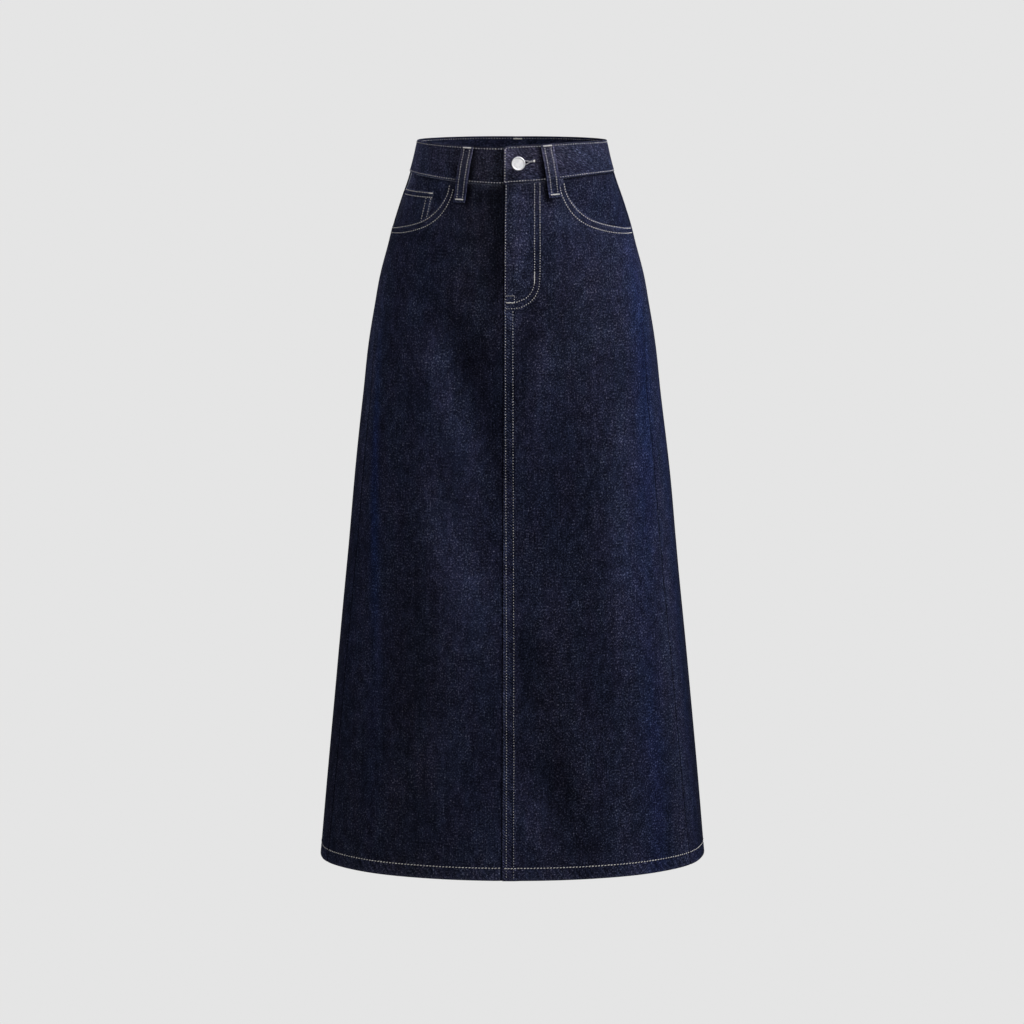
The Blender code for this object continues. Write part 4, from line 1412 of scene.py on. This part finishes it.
# laid is a list of rows, each with the points, directions, outward normals, sizes and tones of its shapes
def finishLaid(name, shape, laid):
    at, way, out, size, tone = (np.concatenate(values) for values in zip(*laid))
    along = way - out * np.sum(way * out, axis=1, keepdims=True)
    along /= np.linalg.norm(along, axis=1, keepdims=True)
    across = np.cross(out, along)
    turned = [Matrix(axes).transposed().to_quaternion() for axes in np.stack((across, out, along), axis=1)]
    points = bpy.data.meshes.new(name + "Points")
    points.from_pydata((at * mm).tolist(), [], [])
    points.attributes.new("turned", "QUATERNION", "POINT").data.foreach_set("value", np.ravel(turned))
    points.attributes.new("size", "FLOAT_VECTOR", "POINT").data.foreach_set("vector", np.ravel(size * mm))
    points.attributes.new("tone", "FLOAT", "POINT").data.foreach_set("value", np.ravel(tone))
    holder = bpy.data.objects.new(name + "Points", points)
    bpy.context.scene.collection.objects.link(holder)
    modifier = holder.modifiers.new("lay", "NODES")
    modifier.node_group = laying
    modifier[laying.interface.items_tree["Shape"].identifier] = shape
    graph = bpy.context.evaluated_depsgraph_get()
    mesh = bpy.data.meshes.new_from_object(holder.evaluated_get(graph), depsgraph=graph)
    mesh.name = name
    for spare in ("turned", "size"):
        if spare in mesh.attributes:
            mesh.attributes.remove(mesh.attributes[spare])
    bpy.data.objects.remove(holder)
    return mesh


def smoothLine(corners, step=0.6):
    points = np.array(corners, float)
    before = np.vstack((2 * points[:1] - points[1:2], points))
    after = np.vstack((points, 2 * points[-1:] - points[-2:-1]))
    line = []
    for i in range(len(points) - 1):
        p0, p1, p2, p3 = before[i], points[i], points[i + 1], after[i + 2]
        t = np.linspace(0, 1, max(2, ceil(np.linalg.norm(p2 - p1) / step)), endpoint=False)[:, None]
        bend = (2 * p0 - 5 * p1 + 4 * p2 - p3) * t**2 + (3 * p1 - p0 - 3 * p2 + p3) * t**3
        line.append(p1 + 0.5 * ((p2 - p0) * t + bend))
    return np.vstack(line + [points[-1:]])


# Points, directions and outward normals at equal steps along a row of turn, depth and lift
def walk(turn, depth, lift, pitch):
    turn, depth, lift = np.broadcast_arrays(*(np.asarray(values, float) for values in (turn, depth, lift)))
    points, normals = lifted(turn, depth, lift), outward(turn, depth)
    length = np.concatenate(([0], np.cumsum(np.linalg.norm(np.diff(points, axis=0), axis=1))))
    count = max(1, round(length[-1] / pitch))
    middle = (np.arange(count) + 0.5) * length[-1] / count

    def pick(at, values):
        return np.stack([np.interp(at, length, values[:, k]) for k in range(3)], axis=1)

    way, normal = pick(middle + 0.5, points) - pick(middle - 0.5, points), pick(middle, normals)
    way /= np.linalg.norm(way, axis=1, keepdims=True)
    return pick(middle, points), way, normal / np.linalg.norm(normal, axis=1, keepdims=True)


def sewRow(laid, turn, depth, lift, tone, pitch=stitch["pitch"], inside=False, longer=1.0, slant=0.0):
    at, way, out = walk(turn, depth, lift, pitch)
    out = -out if inside else out
    count = len(at)
    way = way + np.cross(out, way) * chance.normal(slant, stitch["lean"], (count, 1))
    length = longer * stitch["length"] * pitch / stitch["pitch"] * chance.uniform(0.9, 1.08, count)
    width = stitch["width"] * chance.uniform(0.9, 1.1, count)
    size = np.stack((width, np.full(count, stitch["height"]), length), axis=1)
    laid.append((at + out * stitch["sink"], way, out, size, chance.uniform(*rowTones[tone], count)))


# A bar of close stitches that cross a line from one place to another
def sewBar(laid, start, end, reach, tone="tack", inside=False):
    turn, depth, lift = (np.linspace(a, b, 24) for a, b in zip(start, end))
    at, way, out = walk(turn, depth, lift, tack["pitch"])
    out = -out if inside else out
    count = len(at)
    side = np.where(np.arange(count) % 2, tack["slant"], -tack["slant"])[:, None]
    way = np.cross(out, way) + way * side
    length = reach * chance.uniform(0.9, 1.1, count)
    size = np.stack((np.full(count, tack["width"]), np.full(count, tack["height"]), length), axis=1)
    laid.append((at + out * tack["raise"], way, out, size, chance.uniform(*rowTones[tone], count)))


def finishThread(name, laid):
    return addPiece(name, finishLaid(name, stitchShape, laid))


def frontRow(laid, x, depth, left, tone, pitch=3.0):
    x, depth = smoothLine(list(zip(x, depth))).T
    turn = turnAt(x, depth)
    sewRow(laid, turn if left else -turn, depth, frontLift(x, depth, left), tone, pitch)


stitchShape = makeStitch()
seamRows = (0.6, 9.2)  # distances of the rows from the centre, in a lapped seam


def sewCentreFront():
    laid = []
    for x, start in zip(seamRows, (44, 189)):
        depth = np.arange(start, skirt["length"] - 2, 2.0)
        at = x + between(seamDrift, "x", depth)
        sewRow(laid, turnAt(at, depth), depth, lapStep / 2, "centreFront")
    return finishThread("threadCentreFront", laid)


def sewCentreBack():
    laid = []
    for x in seamRows:
        depth = np.arange(band["height"] + 2, skirt["length"] - 2, 2.0)
        sewRow(laid, 180 - turnAt(np.full(depth.shape, x), depth), depth, lapStep / 2, "centreBack")
    return finishThread("threadCentreBack", laid)


# Corners of curved rows, as the distance from the centre and the depth
flyRows = {
    "inner": ((33, 33.5, 34, 34, 31, 25, 17, 10, 0.5), (44, 90, 130, 156, 167, 174, 178, 180, 180)),
    "outer": ((39, 39.8, 40.4, 39.8, 36, 30, 23, 14, 0.5), (44, 90, 131, 159, 171, 178.5, 183.5, 186.5, 187)),
}
flyBars = (((34, 144), (34, 158)), ((1.5, 180), (11, 180)))
pocketRows = {
    "inner": ((66.5, 69.5, 77, 87, 98, 112, 126, 138.5, 141), (46, 58, 71, 81.5, 89, 94.5, 98.5, 102, 102.7)),
    "outer": (
        (62, 65, 71, 79.5, 92, 107, 124, 140.5, 142.3),
        (50, 60.5, 72.5, 83.5, 93, 99.5, 104.5, 107.5, 108),
    ),
}


def sewFly():
    laid = []
    for x, depth in flyRows.values():
        frontRow(laid, x, depth, True, "fly")
    frontRow(laid, (11, 11, 11), (172, 176, 180), True, "flyDown", 2.4)
    frontRow(laid, (0.5, 6, 11.5), (172, 172, 172), True, "flyAcross", 2.2)
    for ends in flyBars:
        bar = [(float(turnAt(x, depth)), depth, float(frontLift(x, depth, True))) for x, depth in ends]
        sewBar(laid, *bar, 1.3)
    return finishThread("threadFly", laid)


def sewPockets():
    laid = []
    for left in (True, False):
        for x, depth in pocketRows.values():
            frontRow(laid, x, depth, left, "pocketLeft" if left else "pocketRight")
    lift = -layerStep - skirt["gap"] / 2
    for down in (1.6, 6.6):
        x = np.arange(coin["edge"] + 1, 127, 1.5)
        depth = coin["top"] + down + 0.02 * (x - coin["edge"])
        sewRow(laid, -turnAt(x, depth), depth, lift, "coinTop", 3.0)
    for into in (1.6, 7.6):
        depth = np.arange(coin["top"] + 7, coin["top"] + 36, 1.5)
        sewRow(laid, -turnAt(coinEdge(depth) + into, depth), depth, lift, "coinEdge", 3.0)
    corner = [(-float(turnAt(coin["edge"] + x, 57)), 57, lift) for x in (1, 6)]
    sewBar(laid, *corner, 1.6)
    return finishThread("threadPockets", laid)


def sewWaistband():
    laid = []
    underEnd = float(turnAt(band["underEnd"], 20)) - 1
    overEnd = float(turnAt(band["overEnd"] + 1.4, 20)) - 360
    turn = np.arange(overEnd, underEnd, 0.8)
    for depth, tone in ((np.full(turn.shape, 2.4), "bandTop"), (bandSeam(turn) - 1.8, "bandSeam")):
        lift = bandLift(turn, outline(turn, depth)[0])
        sewRow(laid, turn, depth, lift, tone)
        sewRow(laid, turn, depth, lift - band["cloth"], "bandInside", inside=True)
    depth = np.arange(2.4, band["height"] + 4, 1.5)
    turn = turnAt(np.full(depth.shape, band["overEnd"] + 1.6), depth)
    sewRow(laid, turn, depth, band["proud"] + bandLap / 2, "bandEnd")
    return finishThread("threadWaistband", laid)


def sewHem():
    laid = []
    depth = skirt["length"] - skirt["hemStitches"]
    step = 0.6  # in degrees
    bold = {"tone": "hem", "pitch": 3.9, "longer": 1.45, "slant": 0.2}
    frontSide, backSide = float(sideTurn(depth, 1.0)), float(sideTurn(depth, -1.0))
    for left in (True, False):
        side, inner = (1, 0.5) if left else (-1, 3)
        turn = np.arange(float(turnAt(inner, depth)), frontSide, step)
        sewRow(laid, side * turn, depth, frontLift(outline(turn, depth)[0], depth, left), **bold)
        turn = np.arange(backSide, 180 - float(turnAt(inner, depth)), step)
        sewRow(laid, side * turn, depth, backLift(outline(turn, depth)[0], left), **bold)
    sewRow(laid, np.arange(1.5, 359, step), depth, -skirt["hemCloth"], "hemInside", inside=True)
    return finishThread("threadHem", laid)


def sewLoops():
    laid = []
    for _, topTurn, endTurn, seamLift, shorter in loops.values():
        end = loop["end"] - shorter
        for side in (-loop["rowSide"], loop["rowSide"]):
            depth = np.arange(loop["top"] + 3, end - 4, 1.2)
            turn, lift = loopPlace(topTurn, endTurn, seamLift, end, side, depth)
            sewRow(laid, turn, depth, lift - 0.15, "loop", 2.9)
        for depth in (loop["top"] + 1.6, end - 3.6):
            ends = [loopPlace(topTurn, endTurn, seamLift, end, side, depth) for side in (-4.2, 4.2)]
            sewBar(laid, *[(float(turn), depth, float(lift)) for turn, lift in ends], 2.0, "loopTack")
    lift = band["proud"] - band["cloth"]
    sewBar(laid, (177.3, 2.6, lift), (182.7, 2.6, lift), 1.9, inside=True)
    return finishThread("threadLoops", laid)


binding = {
    "above": 0.2,
    "beyond": 3.6,  # how far it passes the tip of the hole
    "narrow": 6,
    "lean": 0.2,
    "stitch": (0.72, 0.7, 1.5),
    "knotEnds": (-0.4, 0.8),
    "knotAbove": 0.25,
    "knotLean": 0.1,
    "knot": (0.9, 1.0, 3.0),
}


def sewKeyhole():
    place, origin = np.array(buttonFrame().to_3x3()) / mm, np.array(buttonFrame().translation) / mm
    seat, tip = band["proud"] + bandLap / 2 + binding["above"], keyhole["length"] + binding["beyond"]
    neck, eye, laid = tip - binding["narrow"], keyhole["eye"], []

    def lay(start, end, height, count, lean, size, tone):
        share = np.linspace(0, 1, count)[:, None]
        at = (1 - share) * start + share * end
        at = origin + np.column_stack((at, np.full(count, height))) @ place.T
        way, out = np.tile(place @ (lean, 1, 0), (count, 1)), np.tile(place @ (0, 0, 1), (count, 1))
        laid.append((at, way, out, np.tile(size, (count, 1)), tone))

    for start, end, count in (
        ((eye, -4.2), (neck, -0.9), 26),
        ((eye, 3.6), (neck, 0.9), 26),
        ((neck, -0.4), (tip, -0.25), 10),
        ((neck, 0.4), (tip, 0.25), 10),
    ):
        tone = chance.uniform(*rowTones["keyhole"], count)
        lay(start, end, seat, count, binding["lean"], binding["stitch"], tone)
    start, end = ((tip + beyond, 0) for beyond in binding["knotEnds"])
    lay(start, end, seat + binding["knotAbove"], 4, binding["knotLean"], binding["knot"], np.ones(4))
    return finishThread("threadKeyhole", laid)


sewCentreFront()
sewCentreBack()
threadFly = sewFly()
sewPockets()
sewWaistband()
sewHem()
sewLoops()
sewKeyhole()
print("sewing ready")


# Shank button
def makeButton():
    outer = band["proud"] + bandLap / 2 + skirt["gap"]
    crown = outer + button["cap"]
    inner = band["proud"] - bandLap / 2 - band["cloth"] - skirt["gap"]
    radius, post, tack, cap = (button[name] for name in ("radius", "post", "tack", "tackCap"))
    dish = crown - button["rimHighlight"]
    profile = [
        (0, dish + 0.05),
        (radius - 3.0, dish + 0.02),
        (radius - 1.9, dish),
        (radius - 1.6, dish + 0.08),
        (radius - 1.35, crown - 0.18),
        (radius - 1.0, crown),
        (radius - 0.6, crown - 0.02),
        (radius - 0.25, crown - 0.22),
        (radius, crown - 0.75),
        (radius - 0.02, outer + 0.75),
        (radius - 0.3, outer + 0.3),
        (radius - 0.9, outer),
        (post, outer),
        (post, inner),
        (tack - 0.3, inner),
        (tack, inner - cap / 2),
        (tack - 0.6, inner - cap),
        (0, inner - cap),
    ]
    bm = bmesh.new()
    points = [bm.verts.new((distance, 0, height)) for distance, height in profile]
    lines = [bm.edges.new(pair) for pair in zip(points, points[1:])]
    bmesh.ops.spin(
        bm, geom=points + lines, steps=64, use_merge=True, cent=(0, 0, 0), axis=(0, 0, 1), angle=radians(360)
    )
    bmesh.ops.remove_doubles(bm, verts=bm.verts, dist=0.01)
    bmesh.ops.recalc_face_normals(bm, faces=bm.faces)
    bmesh.ops.transform(bm, matrix=buttonFrame(), verts=bm.verts)
    mesh = bpy.data.meshes.new("button")
    bm.to_mesh(mesh)
    bm.free()
    mesh.materials.append(buttonMetal)
    piece = addPiece("buttonShank", mesh, ["button"])
    mesh.set_sharp_from_angle(angle=radians(50))
    return piece


makeButton()

# Zip, closed behind the fly
zipper = {
    "columns": 12,
    "rows": 60,
    "from": 14.5,
    "to": 34,
    "middle": 17.1,
    "end": 160,
    "firstTooth": 48,
    "pitch": 1.5,
    "tooth": (2.2, 1.1, 0.62),
    "bevel": 0.16,
}


def makeZip():
    columns, rows = zipper["columns"], zipper["rows"]

    def place(column, row):
        top = float(bandSeam(0)) + skirt["gap"]
        depth = top + (zipper["end"] - top) * row / rows
        x = zipper["from"] + (zipper["to"] - zipper["from"]) * column / columns
        lift = -lapStep / 2 - skirt["gap"] / 2
        return turnAt(x, depth), depth, *spread(depth, lift, skirt["cloth"], farAway)

    mesh = sew("zipTapes", columns, rows, place, [zipTape, zipTape], otherCloth)
    return addPiece("zipTapes", mesh, ["zip"])


def makeTeeth():
    bm = bmesh.new()
    bmesh.ops.create_cube(bm, size=1)
    edges, offset = bm.edges[:], zipper["bevel"]
    bmesh.ops.bevel(bm, geom=edges, offset=offset, affect="EDGES", segments=1, profile=0.5, material=-1)
    shape = finishShape("toothShape", bm, buttonMetal)
    depth = np.arange(zipper["firstTooth"], zipper["end"] - 2, zipper["pitch"] / 2)
    count = len(depth)
    turn = turnAt(zipper["middle"] + np.where(np.arange(count) % 2, 0.5, -0.5), depth)
    lift = np.full(count, -lapStep / 2 - skirt["gap"] / 2 - skirt["cloth"] - 0.35)
    down, size = (np.tile(values, (count, 1)) for values in ((0.0, 0.0, -1.0), zipper["tooth"]))
    row = (lifted(turn, depth, lift), down, outward(turn, depth), size, np.ones(count))
    mesh = finishLaid("zipTeeth", shape, [row])
    bpy.data.objects.remove(shape)
    return addPiece("zipTeeth", mesh)


makeZip()
makeTeeth()
bpy.data.objects.remove(stitchShape)
print("button and zip ready")
# Stage, light and camera
stage = {
    "floor": -1.30,
    "radius": 9.0,
    "corner": 2.5,
    "wall": 9.0,
    "seen": 0.783,
    "bounce": 0.20,
    "skyColour": (0.86, 0.87, 0.88, 1),
    "sky": 0.2,
}


def makeStage():
    bm = bmesh.new()
    floor, radius, corner = stage["floor"], stage["radius"], stage["corner"]
    profile = [(0, 0, floor)]
    for turn in range(0, 91, 10):
        reach, rise = sin(radians(turn)), 1 - cos(radians(turn))
        profile.append((radius - corner + corner * reach, 0, floor + corner * rise))
    profile.append((radius, 0, floor + stage["wall"]))
    points = [bm.verts.new(point) for point in profile]
    lines = [bm.edges.new(pair) for pair in zip(points, points[1:])]
    bmesh.ops.spin(
        bm, geom=points + lines, steps=64, use_merge=True, cent=(0, 0, 0), axis=(0, 0, 1), angle=radians(360)
    )
    bmesh.ops.remove_doubles(bm, verts=bm.verts, dist=0.001)
    mesh = bpy.data.meshes.new("studioSweep")
    bm.to_mesh(mesh)
    bm.free()
    mesh.shade_smooth()
    # An evenly lit pale paint, as on a shadowless sweep: what it sends back to the cloth is dimmer
    material, tree, shader = newMaterial("studioPaint", {})
    tree.nodes.remove(shader)
    glow, path = tree.nodes.new("ShaderNodeEmission"), tree.nodes.new("ShaderNodeLightPath")
    glow.inputs["Color"].default_value = white
    seen, bounce = stage["seen"], stage["bounce"]
    level = calc(tree, "MULTIPLY_ADD", path.outputs["Is Camera Ray"], seen - bounce, bounce)
    tree.links.new(level, glow.inputs["Strength"])
    tree.links.new(glow.outputs[0], tree.nodes["Material Output"].inputs["Surface"])
    mesh.materials.append(material)
    sweep = bpy.data.objects.new("studioSweep", mesh)
    bpy.context.scene.collection.objects.link(sweep)


lookAt = Vector((0, 0, -0.445))
warmLight, coolLight = (1.0, 0.99, 0.98), (0.94, 0.96, 1.0)
lights = {  # direction round from the front, height angle, distance, size, watts, colour
    "front": (30, 10, 3.0, 1.2, 17.0, warmLight),
    "above": (20, 60, 1.4, 0.7, 4.4, warmLight),
    "side": (100, 60, 1.4, 0.7, 13.7, coolLight),
    "corner": (70, 60, 1.4, 0.7, 2.0, warmLight),
    "rear": (195, 25, 3.0, 1.2, 24.0, warmLight),
    "rearSide": (258, 20, 3.0, 1.2, 11.0, coolLight),
}


def aimAt(item, position):
    item.location = position
    item.rotation_euler = (lookAt - position).to_track_quat("-Z", "Y").to_euler()
    bpy.context.scene.collection.objects.link(item)


def around(turn, height, distance):
    turn, height = radians(turn), radians(height)
    return lookAt + distance * Vector((sin(turn) * cos(height), -cos(turn) * cos(height), sin(height)))


makeStage()
for name, (turn, height, distance, size, watts, colour) in lights.items():
    lamp = bpy.data.lights.new(name, "AREA")
    lamp.shape = "SQUARE"
    lamp.size = size
    lamp.energy = watts
    lamp.color = colour
    item = bpy.data.objects.new(name, lamp)
    item.visible_camera = False
    aimAt(item, around(turn, height, distance))
world = bpy.data.worlds.new("studio")
world.use_nodes = True
sky = world.node_tree.nodes["Background"]
sky.inputs["Color"].default_value = stage["skyColour"]
sky.inputs["Strength"].default_value = stage["sky"]
bpy.context.scene.world = world
bpy.context.scene.view_settings.view_transform = "Standard"

view = {"turn": 4.5, "height": 9.65, "distance": 5.0, "lens": 146.5, "sensor": 36}
camera = bpy.data.cameras.new("camera")
camera.lens = view["lens"]
camera.sensor_width = view["sensor"]
cameraObject = bpy.data.objects.new("camera", camera)
aimAt(cameraObject, around(view["turn"], view["height"], view["distance"]))
bpy.context.scene.camera = cameraObject
print("stage ready")
